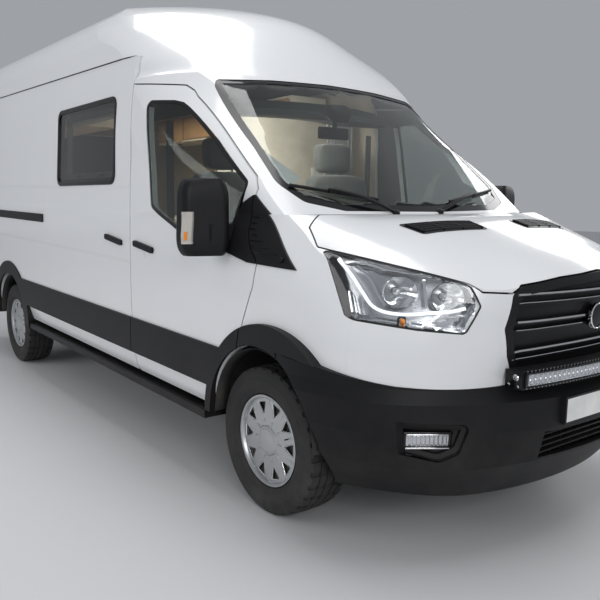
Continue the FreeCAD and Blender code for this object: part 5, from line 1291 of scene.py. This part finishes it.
def make_wiper(name, blade, pivot):
    """Rubber edge and blade, then a bowed arm with its cap and the clip on the blade."""
    shape = bmesh.new()
    (y0, z0), (y1, z1) = blade
    spots = [(y0 + (y1 - y0) * t / 12, z0 + (z1 - z0) * t / 12) for t in range(13)]
    rubber = ((-0.0015, 0.0), (0.0015, 0.0), (0.003, 0.008), (-0.003, 0.008))
    spine = ((-0.008, 0.0), (0.009, 0.0), (0.004, 0.009), (-0.004, 0.009))
    for lift, outline in ((0.0008, rubber), (0.0080, spine)):
        sweep(shape, [on_glass(y, z, lift) for y, z in spots], outline)
    start = Vector(pivot)
    end, out = on_glass(y0 + (y1 - y0) * ARM_HOLD, z0 + (z1 - z0) * ARM_HOLD, 0.026)
    bow = [(start.lerp(end, t / 8) + out * 0.018 * math.sin(math.pi * t / 8), out) for t in range(9)]
    sweep(shape, bow, ((-0.011, -0.004), (0.011, -0.004), (0.007, 0.006), (-0.007, 0.006)))
    ring_profile(shape, ((-0.03, 0.020), (0.004, 0.020), (0.012, 0.014), (0.014, 0.0)), start,
                 (0.35, 0.0, 0.94), 20, close=False)
    block(shape, end - Vector((0.010, 0.022, 0.020)), end + Vector((0.006, 0.022, 0.004)), 0.003)
    finish_piece(name, shape, trim_black, "root", "black_plastic")


make_vents()
make_wiper("wiper_right", ((-0.760, 1.512), (-0.330, 1.446)), (2.078, -0.279, 1.392))
make_wiper("wiper_left", ((0.175, 1.440), (0.720, 1.505)), (2.081, 0.037, 1.396))
print("vents and wipers made")

# %% [markdown]
# Glass on a van has a black printed border. It is a second skin on each pane, finely
# cut, that stores how far every point lies from the pane's edge. Its material is opaque
# only close to that edge, so the band stays even on curved glass, where cutting the
# skin back would leave steps. The door panes are laid on a smooth fitted surface, so
# that they reflect evenly.

# %% Panes and borders
FINE_EDGE = 0.035
EDGE_STEP = 0.005
EVEN_LIMIT = 0.0015
BORDER_LIFT = 0.0012
SCREEN_OUT = (0.80, 0.0, 0.60)


def cut_finely(shape):
    """Halves the long edges of a surface until none is longer than FINE_EDGE."""
    for _ in range(9):
        bmesh.ops.triangulate(shape, faces=[f for f in shape.faces if len(f.verts) > 3])
        rough = [e for e in shape.edges if e.calc_length() > FINE_EDGE]
        if not rough:
            break
        bmesh.ops.subdivide_edges(shape, edges=rough, cuts=1)
    bmesh.ops.triangulate(shape, faces=[f for f in shape.faces if len(f.verts) > 3])


def lay_even(shape, node):
    """Moves a side pane toward a smooth fitted surface y(x, z), by EVEN_LIMIT at most."""
    spots = np.array([v.co[:] for v in shape.verts])
    x, z = spots[:, 0] - spots[:, 0].mean(), spots[:, 2] - spots[:, 2].mean()
    terms = np.stack([x ** a * z ** b for a in range(5) for b in range(5 - a)], axis=1)
    fitted = terms @ np.linalg.lstsq(terms, spots[:, 1], rcond=None)[0]
    print(node, "differs from its fit by", round(float(np.abs(fitted - spots[:, 1]).max()) * 1000, 2), "mm")
    fitted = spots[:, 1] + np.clip(fitted - spots[:, 1], -EVEN_LIMIT, EVEN_LIMIT)
    for vert, y in zip(shape.verts, fitted):
        vert.co.y = float(y)


def fine_skin(node, outward, even=False):
    """A finely cut copy of a pane's outer face, laid even if asked."""
    skin = skin_of(node, outward, 0.4)
    cut_finely(skin)
    if even:
        lay_even(skin, node)
    return skin


def edge_spots(shape):
    """Points close together along the open edges of a surface."""
    spots = []
    for edge in shape.edges:
        if len(edge.link_faces) == 1:
            a, b = (v.co for v in edge.verts)
            count = max(1, int((b - a).length / EDGE_STEP))
            spots += [a.lerp(b, k / count) for k in range(count)]
    return spots


def make_border(name, width):
    material, tree, shader = new_material("print_" + name, Base_Color=(0.006, 0.006, 0.007, 1.0),
                                          Roughness=0.08)
    near = add_node(tree, "ShaderNodeAttribute", attribute_name="edge_distance")
    fade = add_node(tree, "ShaderNodeMapRange", (("Value", near.outputs["Fac"]),),
                    From_Min=width, From_Max=width + 0.002, To_Min=1.0, To_Max=0.0)
    tree.links.new(fade.outputs["Result"], shader.inputs["Alpha"])
    return material


def border_on(node, outward, width, body, name, even=False):
    """A black printed border: the finely cut pane again, opaque only near its edge."""
    rim = fine_skin(node, outward, even)
    spots = edge_spots(rim)
    tree = KDTree(len(spots))
    for number, spot in enumerate(spots):
        tree.insert(spot, number)
    tree.balance()
    far = [tree.find(v.co)[2] for v in rim.verts]
    bmesh.ops.translate(rim, vec=Vector(outward).normalized() * BORDER_LIFT, verts=rim.verts)
    obj = finish_piece(name, rim, make_border(name, width), body, "glazing", soft=ALL_SOFT)
    shade = obj.data.attributes.new("edge_distance", "FLOAT", "POINT")
    shade.data.foreach_set("value", far)


def make_panes():
    screen = finish_piece("windscreen_pane", skin_of("windscreen", SCREEN_OUT, 0.4), screen_glass, "root",
                          "glazing", soft=ALL_SOFT)
    thicken(screen, 0.005)
    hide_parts("windscreen")
    border_on("windscreen", SCREEN_OUT, 0.042, "root", "windscreen_border")
    for side_name, sign in SIDES:
        node = "cab_glass_" + side_name
        outward = (0.0, sign, 0.15)
        pane = finish_piece("pane_" + side_name, fine_skin(node, outward, even=True), door_glass,
                            BODY_OF[node], "glazing", soft=ALL_SOFT)
        thicken(pane, 0.004)
        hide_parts(node)
        border_on(node, outward, 0.020, BODY_OF[node], "border_" + node, even=True)


frame_grey = make_plastic("frame_grey", (0.16, 0.17, 0.16), 0.5, 500.0, 0.0002, 0.0)
make_panes()
print("windscreen and door panes edged")

# %% [markdown]
# The living window is a separate framed unit. Its rim, pane and inner frame are carried
# round rounded outlines drawn in from one limit, so they stay parallel. The wall's
# slope is taken from two rays, above and below the window.

# %% Living window
def rounded_outline(x0, x1, z0, z1, radius, steps=5):
    points = []
    for cx, cz, start in ((x1 - radius, z1 - radius, 0.0), (x0 + radius, z1 - radius, 0.5),
                          (x0 + radius, z0 + radius, 1.0), (x1 - radius, z0 + radius, 1.5)):
        for k in range(steps + 1):
            a = (start + 0.5 * k / steps) * math.pi
            points.append((cx + radius * math.cos(a), cz + radius * math.sin(a)))
    return points


def wall_path(points, sink):
    """Points (x, z) on the right-hand wall beside the living window, sunk by some depth."""
    low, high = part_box("living_window")
    a, b = (from_side("sliding_door_right", 0.0, level, -1)[0] for level in (low.z - 0.03, high.z + 0.03))
    tilt = (b.y - a.y) / (b.z - a.z)
    out = Vector((0.0, -1.0, -tilt)).normalized()
    return [(Vector((x, a.y + tilt * (z - a.z), z)) - out * sink, out) for x, z in points]


def window_limits():
    low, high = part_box("living_window")
    return low.x - 0.006, high.x + 0.006, low.z - 0.004, high.z + 0.004


def window_ring(inward, radius, sink):
    """A path round the window, drawn in from its limits."""
    x0, x1, z0, z1 = window_limits()
    return wall_path(rounded_outline(x0 + inward, x1 - inward, z0 + inward, z1 - inward, radius), sink)


def make_window_rims(body):
    outer, inner = bmesh.new(), bmesh.new()
    lip = ((-0.014, 0.0), (0.014, 0.0), (0.014, 0.036), (0.010, 0.040), (-0.010, 0.040), (-0.014, 0.036))
    sweep(outer, window_ring(0.014, 0.050, 0.030), lip, closed=True)
    sweep(outer, window_ring(0.034, 0.040, 0.030), box_outline(0.014, 0.026), closed=True)
    rim = finish_piece("window_frame", outer, gloss_black, body, "glazing")
    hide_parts("living_window")
    flat = ((-0.016, 0.0), (0.016, 0.0), (0.016, 0.030), (-0.016, 0.030))
    sweep(inner, window_ring(0.066, 0.034, 0.075), flat, closed=True)
    sweep(inner, window_ring(0.040, 0.040, 0.078), box_outline(0.040, 0.006), closed=True)
    finish_piece("window_inner_frame", inner, frame_grey, body, "cab_plastic")


def make_window_pane(body):
    pane = bmesh.new()
    pane.faces.new([pane.verts.new(place) for place, _ in window_ring(0.030, 0.042, 0.002)])
    thicken(finish_piece("window_pane", pane, dark_glass, body, "glazing", soft=0.0), 0.004, 0.0)


def make_window_blind(body):
    x0, x1, z0, z1 = window_limits()
    blind, latch = bmesh.new(), bmesh.new()
    corners = wall_path([(x0 + 0.055, z1 - 0.052), (x1 - 0.055, z1 - 0.052), (x1 - 0.055, z1 - 0.105),
                         (x0 + 0.055, z1 - 0.105)], 0.070)
    blind.faces.new([blind.verts.new(place) for place, _ in corners])
    for number in range(2):
        z = z1 - 0.112 - number * 0.006
        sweep(blind, wall_path([(x0 + 0.055, z), (x1 - 0.055, z)], 0.068), box_outline(0.004, 0.006))
    thicken(finish_piece("window_blind", blind, cream_panel, body, "cab_plastic"), 0.002)
    for x in (x0 + 0.30, x1 - 0.30):
        run = wall_path([(x - 0.03, z0 + 0.062), (x + 0.03, z0 + 0.062)], 0.050)
        sweep(latch, run, box_outline(0.012, 0.012))
    finish_piece("window_latches", latch, trim_black, body, "cab_plastic")


for make in (make_window_rims, make_window_pane, make_window_blind):
    make(BODY_OF["living_window"])
print("living window made")

# %% [markdown]
# Small fittings on the sides: mirror glass and repeater, a key cap on each cab door, a
# knob and fine ribs on each corner plate, and the dark drip line under the roof. Each
# is seated by rays cast from outside, because a written place would float or sink on
# the curved side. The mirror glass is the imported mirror's rear face, trimmed.

# %% Mirrors and side fittings
MIRROR_EDGE = 0.022


def on_mirror_face(place):
    return place.x < 1.68 and place.z > 1.18 and place.y > 0.99


def make_mirror_glass():
    glass = skin_of("mirror_left", (-1.0, 0.0, 0.0), 0.75, keep=on_mirror_face)
    places = [v.co.copy() for v in glass.verts]
    for axis in (1, 2):
        levels = [p[axis] for p in places]
        for level, way in ((min(levels) + MIRROR_EDGE, -1.0), (max(levels) - MIRROR_EDGE, 1.0)):
            place, away = Vector((0.0, 0.0, 0.0)), Vector((0.0, 0.0, 0.0))
            place[axis], away[axis] = level, way
            cut_by_plane(glass, place, away)
    bmesh.ops.translate(glass, vec=(-0.0015, 0.0, 0.0), verts=glass.verts)
    both_sides("mirror_glass", glass, mirror_silver, "door_{}", "glazing")


def make_repeaters():
    run = []
    for step in range(9):
        place, out = from_side("mirror_left", 1.697, 1.250 + 0.145 * step / 8)
        run.append((place, Vector((out.x * 0.5, out.y, 0.0)).normalized()))
    lens, bulb = bmesh.new(), bmesh.new()
    sweep(lens, run, ((-0.030, -0.006), (0.030, -0.006), (0.028, 0.004), (0.018, 0.008), (-0.018, 0.008),
                      (-0.028, 0.004)))
    both_sides("mirror_repeater", lens, repeater_lens, "door_{}", "lamp_lens")
    sweep(bulb, [(place + out * 0.0060, out) for place, out in run[1:4]],
          ((-0.010, 0.0), (0.010, 0.0), (0.008, 0.0046), (-0.008, 0.0046)))
    both_sides("repeater_bulb", bulb, amber_bulb, "door_{}", "lamp_lens")


def round_cap(shape, node, x, z, radius, tall):
    place, out = from_side(node, x, z)
    profile = ((-0.004, radius), (tall * 0.5, radius), (tall, radius * 0.8), (tall, 0.0))
    ring_profile(shape, profile, place, out, 24, close=False)


def make_side_caps():
    cap, knob = bmesh.new(), bmesh.new()
    round_cap(cap, "cab_door_left", 0.868, 1.132, 0.012, 0.003)
    both_sides("key_cap", cap, white_paint, "door_{}", "body_paint")
    round_cap(knob, "corner_plates", 2.101, 1.195, 0.013, 0.012)
    both_sides("corner_knob", knob, gloss_black, "root", "black_plastic")


def make_corner_ribs():
    ribs = bmesh.new()
    for row in range(7):
        run = []
        for step in range(9):
            x = 1.870 + (2.060 - 0.055 * row - 1.870) * step / 8
            place, out = from_side("corner_plates", x, 1.215 + 0.026 * row)
            if place is not None and place.y > 0.88:
                run.append((place, out))
        if len(run) > 2:
            sweep(ribs, run, ((-0.003, -0.001), (0.003, -0.001), (0.0015, 0.0022), (-0.0015, 0.0022)))
    both_sides("corner_ribs", ribs, gloss_black, "root", "black_plastic")


def outermost(nodes, x, z, sign):
    """The hit of a ray from the side that lies farthest out among some nodes."""
    place, out = None, None
    for node in nodes:
        spot, normal = from_side(node, x, z, sign)
        if spot is not None and (place is None or abs(spot.y) > abs(place.y)):
            place, out = spot, normal
    return place, out


def make_drip_lines():
    for side_name, sign in SIDES:
        line, run = bmesh.new(), []
        for step in range(61):
            x = -2.90 + (0.640 + 2.90) * step / 60
            nodes = ("side_wall_" + side_name, "roof_panel", "sliding_door_right")
            place, out = outermost(nodes, x, 2.284 - 0.0248 * x, sign)
            if place is not None:
                run.append((place, out))
        sweep(line, run, ((-0.004, -0.003), (0.004, -0.003), (0.003, 0.0035), (-0.003, 0.0035)))
        finish_piece("drip_line_" + side_name, line, rubber_seal, "root", "black_plastic")


repeater_lens = new_material("repeater_lens", Base_Color=(0.70, 0.66, 0.60, 1.0), Roughness=0.12,
                             Metallic=0.5, Coat_Weight=1.0)[0]
make_mirror_glass()
make_repeaters()
make_side_caps()
make_corner_ribs()
make_drip_lines()
print("side fittings made")

# %% [markdown]
# Each arch has a liner: half a ring, made by extruding a row of edges across the arch
# and thickening it. It hides the body's hollow behind the tyre.

# %% Arch liners
ARCH_RADIUS = 0.381
ARCH_Z = 0.402
ARCHES = (("front", 1.968), ("rear", -1.782))


def make_arch_liners():
    for stub, x in ARCHES:
        liner = bmesh.new()
        turns = [math.pi * step / 36 for step in range(37)]
        low = [liner.verts.new((x + ARCH_RADIUS * math.cos(a), 0.935, ARCH_Z + ARCH_RADIUS * math.sin(a)))
               for a in turns]
        edges = [liner.edges.new(pair) for pair in zip(low, low[1:])]
        outer = new_verts(bmesh.ops.extrude_edge_only(liner, edges=edges))
        bmesh.ops.translate(liner, vec=(0.0, 0.073, 0.0), verts=outer)
        for obj in both_sides("arch_liner_" + stub, liner, under_black, "root", "black_plastic"):
            thicken(obj, 0.003)


make_arch_liners()
print("liners in", len(ARCHES), "arches a side")

# %% [markdown]
# Through the glass one sees the cab and the room behind it. The seats are stuffed
# pieces: a block is cut into cells, pulled in along its seams and then rounded by a
# subdivision surface. The curtain is one sheet with folds that narrow to the top.

# %% Seats and curtain
SEAT_Y = 0.440


def stuffed_block(name, low, high, seams=(), lean=0.0, puff=0.012, cuts=7):
    """A cushion: a cube cut into cells, its faces swollen, pressed in along seams (y, depth)."""
    low, high = Vector(low), Vector(high)
    size = (high - low) / 2
    middle = (high + low) / 2
    shape = bmesh.new()
    bmesh.ops.create_cube(shape, size=2.0)
    bmesh.ops.subdivide_edges(shape, edges=shape.edges, cuts=cuts, use_grid_fill=True)
    for vert in shape.verts:
        x, y, z = vert.co
        for axis in range(3):
            others = [abs(vert.co[k]) for k in range(3) if k != axis]
            if abs(vert.co[axis]) > 0.999:
                swell = puff * (1.0 - others[0] ** 4) * (1.0 - others[1] ** 4)
                vert.co[axis] *= 1.0 + swell / size[axis]
        edge = sorted((abs(x), abs(y), abs(z)))[1]
        if edge > 0.98:
            vert.co *= 0.955
    for vert in shape.verts:
        vert.co = Vector((vert.co.x * size.x, vert.co.y * size.y, vert.co.z * size.z))
        for at, deep in seams:
            near = math.exp(-((abs(vert.co.y) - at) / 0.022) ** 2)
            vert.co.x -= near * deep * (1.0 if vert.co.x > 0.0 else -0.4)
            if size.z < size.x:
                vert.co.z -= near * deep * (1.0 if vert.co.z > 0.0 else 0.0)
        vert.co.x -= lean * (vert.co.z + size.z)
    bmesh.ops.translate(shape, vec=middle, verts=shape.verts)
    obj = finish_piece(name, shape, seat_cloth, "root", "seat_fabric", soft=ALL_SOFT)
    round_off(obj)
    return obj


def make_seats():
    for side_name, sign in SIDES:
        y = SEAT_Y * sign
        stuffed_block("seat_cushion_" + side_name, (0.900, y - 0.245, 0.892),
                                  (1.385, y + 0.245, 1.022), seams=((0.150, 0.012),))
        stuffed_block("seat_back_" + side_name, (0.832, y - 0.235, 0.985),
                                  (0.960, y + 0.235, 1.605), seams=((0.145, 0.014),), lean=0.10)
        stuffed_block("headrest_" + side_name, (0.755, y - 0.130, 1.640),
                                  (0.850, y + 0.130, 1.815), lean=0.06, cuts=5)
        posts = bmesh.new()
        for shift in (-0.055, 0.055):
            ring_profile(posts, ((0.0, 0.0), (0.0, 0.006), (0.11, 0.006), (0.11, 0.0)),
                         Vector((0.800, y + shift, 1.560)), (0, 0, 1), 12, close=False)
        finish_piece("headrest_posts_" + side_name, posts, chrome, "root", "chassis_metal")
    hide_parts("seat_pads")


def make_curtain():
    wide, tall, folds = 0.42, 1.05, 9
    cloth = bmesh.new()
    bmesh.ops.create_grid(cloth, x_segments=folds * 10, y_segments=24, size=0.5)
    for vert in cloth.verts:
        across, up = vert.co.x + 0.5, vert.co.y + 0.5
        deep = 0.011 + 0.010 * (1.0 - up)
        wave = math.sin(across * folds * 2 * math.pi + 0.5 * math.sin(up * 5.0))
        vert.co = Vector((0.58 + deep * wave + 0.02 * (1.0 - up) * math.sin(7.0 * across),
                          0.70 + (across - 0.5) * wide * 0.62,
                          1.02 + up * tall + 0.004 * math.sin(across * folds * 2 * math.pi)))
    area = sum(f.calc_area() for f in cloth.faces)
    obj = finish_piece("curtain", cloth, curtain_cloth, "root", "seat_fabric", soft=ALL_SOFT)
    thicken(obj, 0.0012)
    rail = bmesh.new()
    block(rail, (0.572, 0.50, 2.072), (0.590, 0.90, 2.088), 0.003)
    rod = finish_piece("curtain_rail", rail, frame_grey, "root", "cab_plastic")
    return area


make_seats()
print("curtain cloth", round(make_curtain(), 3), "square metres")

# %% [markdown]
# Behind the seats stand the room's front wall in pale board with a switch plate, oak
# furniture edges, overhead boxes and the kitchen's fronts. All of these are boxes with
# rounded edges, so one function makes them from lists of corners.

# %% Room and kitchen
FRONTS = 4
FRONT_PITCH = 0.305


def plain(name, boxes, finish, slot, body="root", round_by=0.004):
    shape = bmesh.new()
    for low, high in boxes:
        block(shape, low, high, round_by)
    return finish_piece(name, shape, finish, body, slot)


def make_room():
    plain("room_wall", [((0.256, -0.16, 0.645), (0.276, 0.860, 2.10))], cream_panel, "cab_plastic")
    plain("switch_plate", [((0.2755, 0.690, 1.610), (0.281, 0.775, 1.695)),
                           ((0.281, 0.705, 1.630), (0.2835, 0.730, 1.675)),
                           ((0.281, 0.736, 1.630), (0.2835, 0.760, 1.675))],
          plate_white, "cab_plastic", round_by=0.0015)
    plain("wall_trims", [((0.252, -0.186, 0.645), (0.282, -0.160, 2.10)),
                         ((0.252, -0.186, 2.10), (0.282, 0.86, 2.126))],
          oak_board, "furniture_wood", round_by=0.003)
    plain("side_cupboard", [((0.300, -0.870, 0.645), (0.640, -0.500, 1.150)),
                            ((0.280, -0.890, 1.150), (0.655, -0.480, 1.175))],
          oak_board, "furniture_wood")
    plain("ceiling_boxes", [((-1.90, 0.52, 1.98), (0.24, 0.86, 2.22)),
                            ((-1.90, -0.86, 1.98), (-0.56, -0.52, 2.22))],
          cream_panel, "cab_plastic")
    doors = [((-1.88 + 0.53 * k, 0.500, 2.00), (-1.88 + 0.53 * k + 0.505, 0.520, 2.20)) for k in range(4)]
    doors += [((-1.88 + 0.66 * k, -0.520, 2.00), (-1.88 + 0.66 * k + 0.635, -0.500, 2.20)) for k in range(2)]
    plain("box_doors", doors, oak_board, "furniture_wood")


def make_kitchen():
    low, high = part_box("kitchen_cabinet")
    plain("worktop", [((low.x - 0.005, low.y - 0.012, high.z), (high.x, high.y - 0.06, high.z + 0.014))],
          cream_panel, "furniture_wood", round_by=0.003)
    starts = [low.x + 0.02 + FRONT_PITCH * k for k in range(FRONTS)]
    fronts = [((x, low.y - 0.016, low.z + 0.08), (x + 0.29, low.y, high.z - 0.17)) for x in starts]
    fronts += [((x, low.y - 0.016, high.z - 0.155), (x + 0.29, low.y, high.z - 0.02)) for x in starts]
    plain("cabinet_doors", fronts, cream_panel, "furniture_wood", round_by=0.003)
    knobs = [((low.x + 0.15 + FRONT_PITCH * k, low.y - 0.030, high.z - 0.095),
              (low.x + 0.18 + FRONT_PITCH * k, low.y - 0.014, high.z - 0.08)) for k in range(FRONTS)]
    plain("cabinet_knobs", knobs, steel, "furniture_wood", round_by=0.003)
    plain("floor_cover", [((-2.60, -0.86, low.z), (0.62, 0.86, low.z + 0.006))], oak_board,
          "furniture_wood", round_by=0.0)


def make_mattress():
    low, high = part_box("bed_platform")
    shape = bmesh.new()
    bmesh.ops.create_cube(shape, size=2.0)
    bmesh.ops.subdivide_edges(shape, edges=shape.edges, cuts=9, use_grid_fill=True)
    size = Vector(((high.x - low.x) / 2 - 0.05, 0.78, 0.065))
    for vert in shape.verts:
        x, y, z = vert.co
        swell = 0.010 * (1.0 - x ** 4) * (1.0 - y ** 4)
        vert.co = Vector((x * size.x, y * size.y, z * (size.z + swell)))
    bmesh.ops.translate(shape, vec=((low.x + high.x) / 2, 0.0, high.z + 0.068), verts=shape.verts)
    obj = finish_piece("mattress", shape, bed_cloth, "root", "seat_fabric", soft=ALL_SOFT)
    round_off(obj)


make_room()
make_kitchen()
make_mattress()
print("room fitted")

# %% [markdown]
# The cab has a shelf over the windscreen, swept along a shallow bow, a mirror block
# turned to the glass, door cards, dials spun about the driver's line of sight, a
# screen, vents and belts.

# %% Cab
def make_shelf():
    shelf, run = bmesh.new(), []
    for step in range(17):
        y = -0.62 + 1.24 * step / 16
        run.append((Vector((1.165 - 0.16 * (y / 0.62) ** 2, y, 1.975)), Vector((0.0, 0.0, 1.0))))
    sweep(shelf, run, ((-0.30, 0.040), (-0.30, -0.020), (0.030, -0.055), (0.085, -0.052), (0.078, -0.015),
                       (0.004, 0.040)))
    finish_piece("overhead_shelf", shelf, cab_plastic, "root", "cab_plastic")


def make_mirror_block():
    wedge = bmesh.new()
    block(wedge, (1.300, -0.070, 1.905), (1.385, 0.070, 1.985), 0.018, 3)
    bmesh.ops.rotate(wedge, cent=(1.34, 0.0, 1.95), matrix=Matrix.Rotation(math.radians(32.0), 3, "Y"),
                     verts=wedge.verts)
    block(wedge, (1.300, -0.012, 1.86), (1.316, 0.012, 1.93), 0.004)
    block(wedge, (1.285, -0.115, 1.800), (1.310, 0.115, 1.868), 0.010, 3)
    finish_piece("mirror_block", wedge, gloss_black, "root", "cab_plastic")


def make_door_cards():
    for side_name, sign in SIDES:
        card = [((0.760, sign * 0.885 - 0.014, 0.640), (1.640, sign * 0.885 + 0.014, 1.120)),
                ((0.860, sign * 0.850 - 0.028, 0.985), (1.420, sign * 0.850 + 0.028, 1.045))]
        plain("door_card_" + side_name, card, cab_plastic, "cab_plastic", "door_" + side_name, 0.012)


def make_dashboard_fittings():
    dials = bmesh.new()
    for y in (0.33, 0.47):
        ring_profile(dials, ((0.0, 0.0), (0.0, 0.048), (0.006, 0.050), (0.010, 0.046), (0.004, 0.040),
                             (0.004, 0.0)), (1.585, y, 1.285), (-0.94, 0.0, 0.34), 32, close=False)
    finish_piece("dials", dials, gloss_black, "root", "cab_plastic")
    plain("cab_screen", [((1.545, -0.11, 1.245), (1.565, 0.13, 1.385))], gloss_black, "cab_plastic",
          round_by=0.006)
    slats = [((1.520, y - 0.055, 1.150 + 0.016 * row), (1.545, y + 0.055, 1.154 + 0.016 * row))
             for y in (-0.62, -0.20, 0.20, 0.66) for row in range(4)]
    plain("cab_vents", slats, gloss_black, "cab_plastic", round_by=0.0)
    belts = [((0.770, sign * 0.800 - 0.024, 1.10), (0.774, sign * 0.800 + 0.024, 1.90)) for sign in (1, -1)]
    plain("seat_belts", belts, seat_cloth, "seat_fabric", round_by=0.0)


make_shelf()
make_mirror_block()
make_door_cards()
make_dashboard_fittings()
print("cab fitted")

# %% [markdown]
# The back isn't in the photograph, so it stays plain: hinges, a latch handle, a blank
# plate with its lamp, a high stop lamp and reflectors. The rear lamps keep their
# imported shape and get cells, with an amber and a clear field. Most are boxes placed
# from the spot where a ray from behind meets the door.

# %% Rear fittings
REAR_LAMP_Y = (0.918, 0.990)


def from_back(node, y, z):
    return cast(node, (-4.0, y, z), (1.0, 0.0, 0.0))


def around(spot, *corners):
    """Boxes whose low and high corners are given from one place."""
    return [(spot + Vector(low), spot + Vector(high)) for low, high in corners]


def make_rear_doors():
    low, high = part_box("rear_door_left")
    hinges, ribs, seal = bmesh.new(), bmesh.new(), bmesh.new()
    for z in (0.640, 1.400, 1.860):
        spot, _ = from_back("rear_door_left", 0.850, z)
        block(hinges, spot + Vector((-0.012, -0.075, -0.020)), spot + Vector((0.004, 0.030, 0.020)), 0.004)
        ring_profile(hinges, ((-0.030, 0.0), (-0.030, 0.009), (0.030, 0.009), (0.030, 0.0)),
                     spot + Vector((-0.008, 0.036, 0.0)), (0, 0, 1), 16, close=False)
    both_sides("rear_hinges", hinges, white_paint, "rear_door_{}", "body_paint")
    for z in (0.780, 1.010, 1.380, 1.480):
        run = [from_back("rear_door_left", 0.14 + (0.70 - 0.14) * step / 8, z) for step in range(9)]
        sweep(ribs, run, ((-0.011, -0.001), (0.011, -0.001), (0.005, 0.0035), (-0.005, 0.0035)))
    both_sides("rear_door_ribs", ribs, white_paint, "rear_door_{}", "body_paint")
    block(seal, (low.x - 0.001, 0.0, low.z + 0.02), (low.x + 0.006, 0.004, high.z - 0.02))
    both_sides("rear_door_seal", seal, rubber_seal, "rear_door_{}", "black_plastic", soft=0.0)


def make_handle_and_plate():
    spot, _ = from_back("rear_door_right", -0.12, 1.02)
    plain("rear_handle", around(spot, ((-0.030, -0.085, -0.012), (-0.014, 0.085, 0.014)),
                                ((-0.020, -0.080, -0.010), (0.004, -0.050, 0.012)),
                                ((-0.020, 0.050, -0.010), (0.004, 0.080, 0.012))),
          trim_black, "black_plastic", "rear_door_right", 0.006)
    spot, _ = from_back("rear_door_left", 0.36, 0.90)
    for name, corners, finish, radius in (
            ("rear_plate_holder", ((-0.008, -0.272, -0.068), (0.004, 0.272, 0.068)), trim_black, 0.004),
            ("rear_plate_face", ((-0.0095, -0.260, -0.055), (-0.007, 0.260, 0.055)), plate_white, 0.0008),
            ("rear_plate_lamp", ((-0.030, -0.14, 0.078), (0.004, 0.14, 0.100)), trim_black, 0.006)):
        plain(name, around(spot, corners), finish, "black_plastic", "rear_door_left", radius)
    spot, _ = from_back("rear_door_left", 0.20, 2.09)
    plain("stop_lamp", around(spot, ((-0.014, -0.19, -0.014), (0.006, 0.12, 0.014))), red_lens, "lamp_red",
          "rear_door_left", 0.005)


def lamp_field(name, z0, z1, finish):
    """A raised field across the rear lamp."""
    field = bmesh.new()
    place, _ = from_back("rear_lamps", 0.955, (z0 + z1) / 2)
    y0, y1 = REAR_LAMP_Y
    block(field, (place.x - 0.0055, y0 - 0.002, z0), (place.x + 0.002, y1 + 0.002, z1), 0.004)
    both_sides(name, field, finish, "root", "lamp_red")


def make_rear_lamps():
    cells, pads = bmesh.new(), bmesh.new()
    low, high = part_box("rear_lamps")
    y0, y1 = REAR_LAMP_Y
    for row in range(12):
        z = low.z + 0.022 + row * (high.z - low.z - 0.04) / 12
        place, _ = from_back("rear_lamps", 0.955, z)
        if place is not None:
            block(cells, (place.x - 0.0035, y0, z), (place.x + 0.004, y1, z + 0.022), 0.003)
    both_sides("rear_lamp_cells", cells, red_lens, "root", "lamp_red")
    lamp_field("rear_amber", 1.135, 1.195, amber_field)
    lamp_field("rear_clear", 0.935, 0.985, plate_white)
    place, _ = from_back("rear_bumper", 0.78, 0.42)
    block(pads, (place.x - 0.004, 0.72, 0.402), (place.x + 0.003, 0.84, 0.434), 0.004)
    both_sides("rear_reflectors", pads, red_lens, "root", "lamp_red")


amber_field = make_plastic("amber_field", (0.62, 0.22, 0.01), 0.12, 500.0, 0.0002, 0.1)
make_rear_doors()
make_handle_and_plate()
make_rear_lamps()
print("rear fitted")
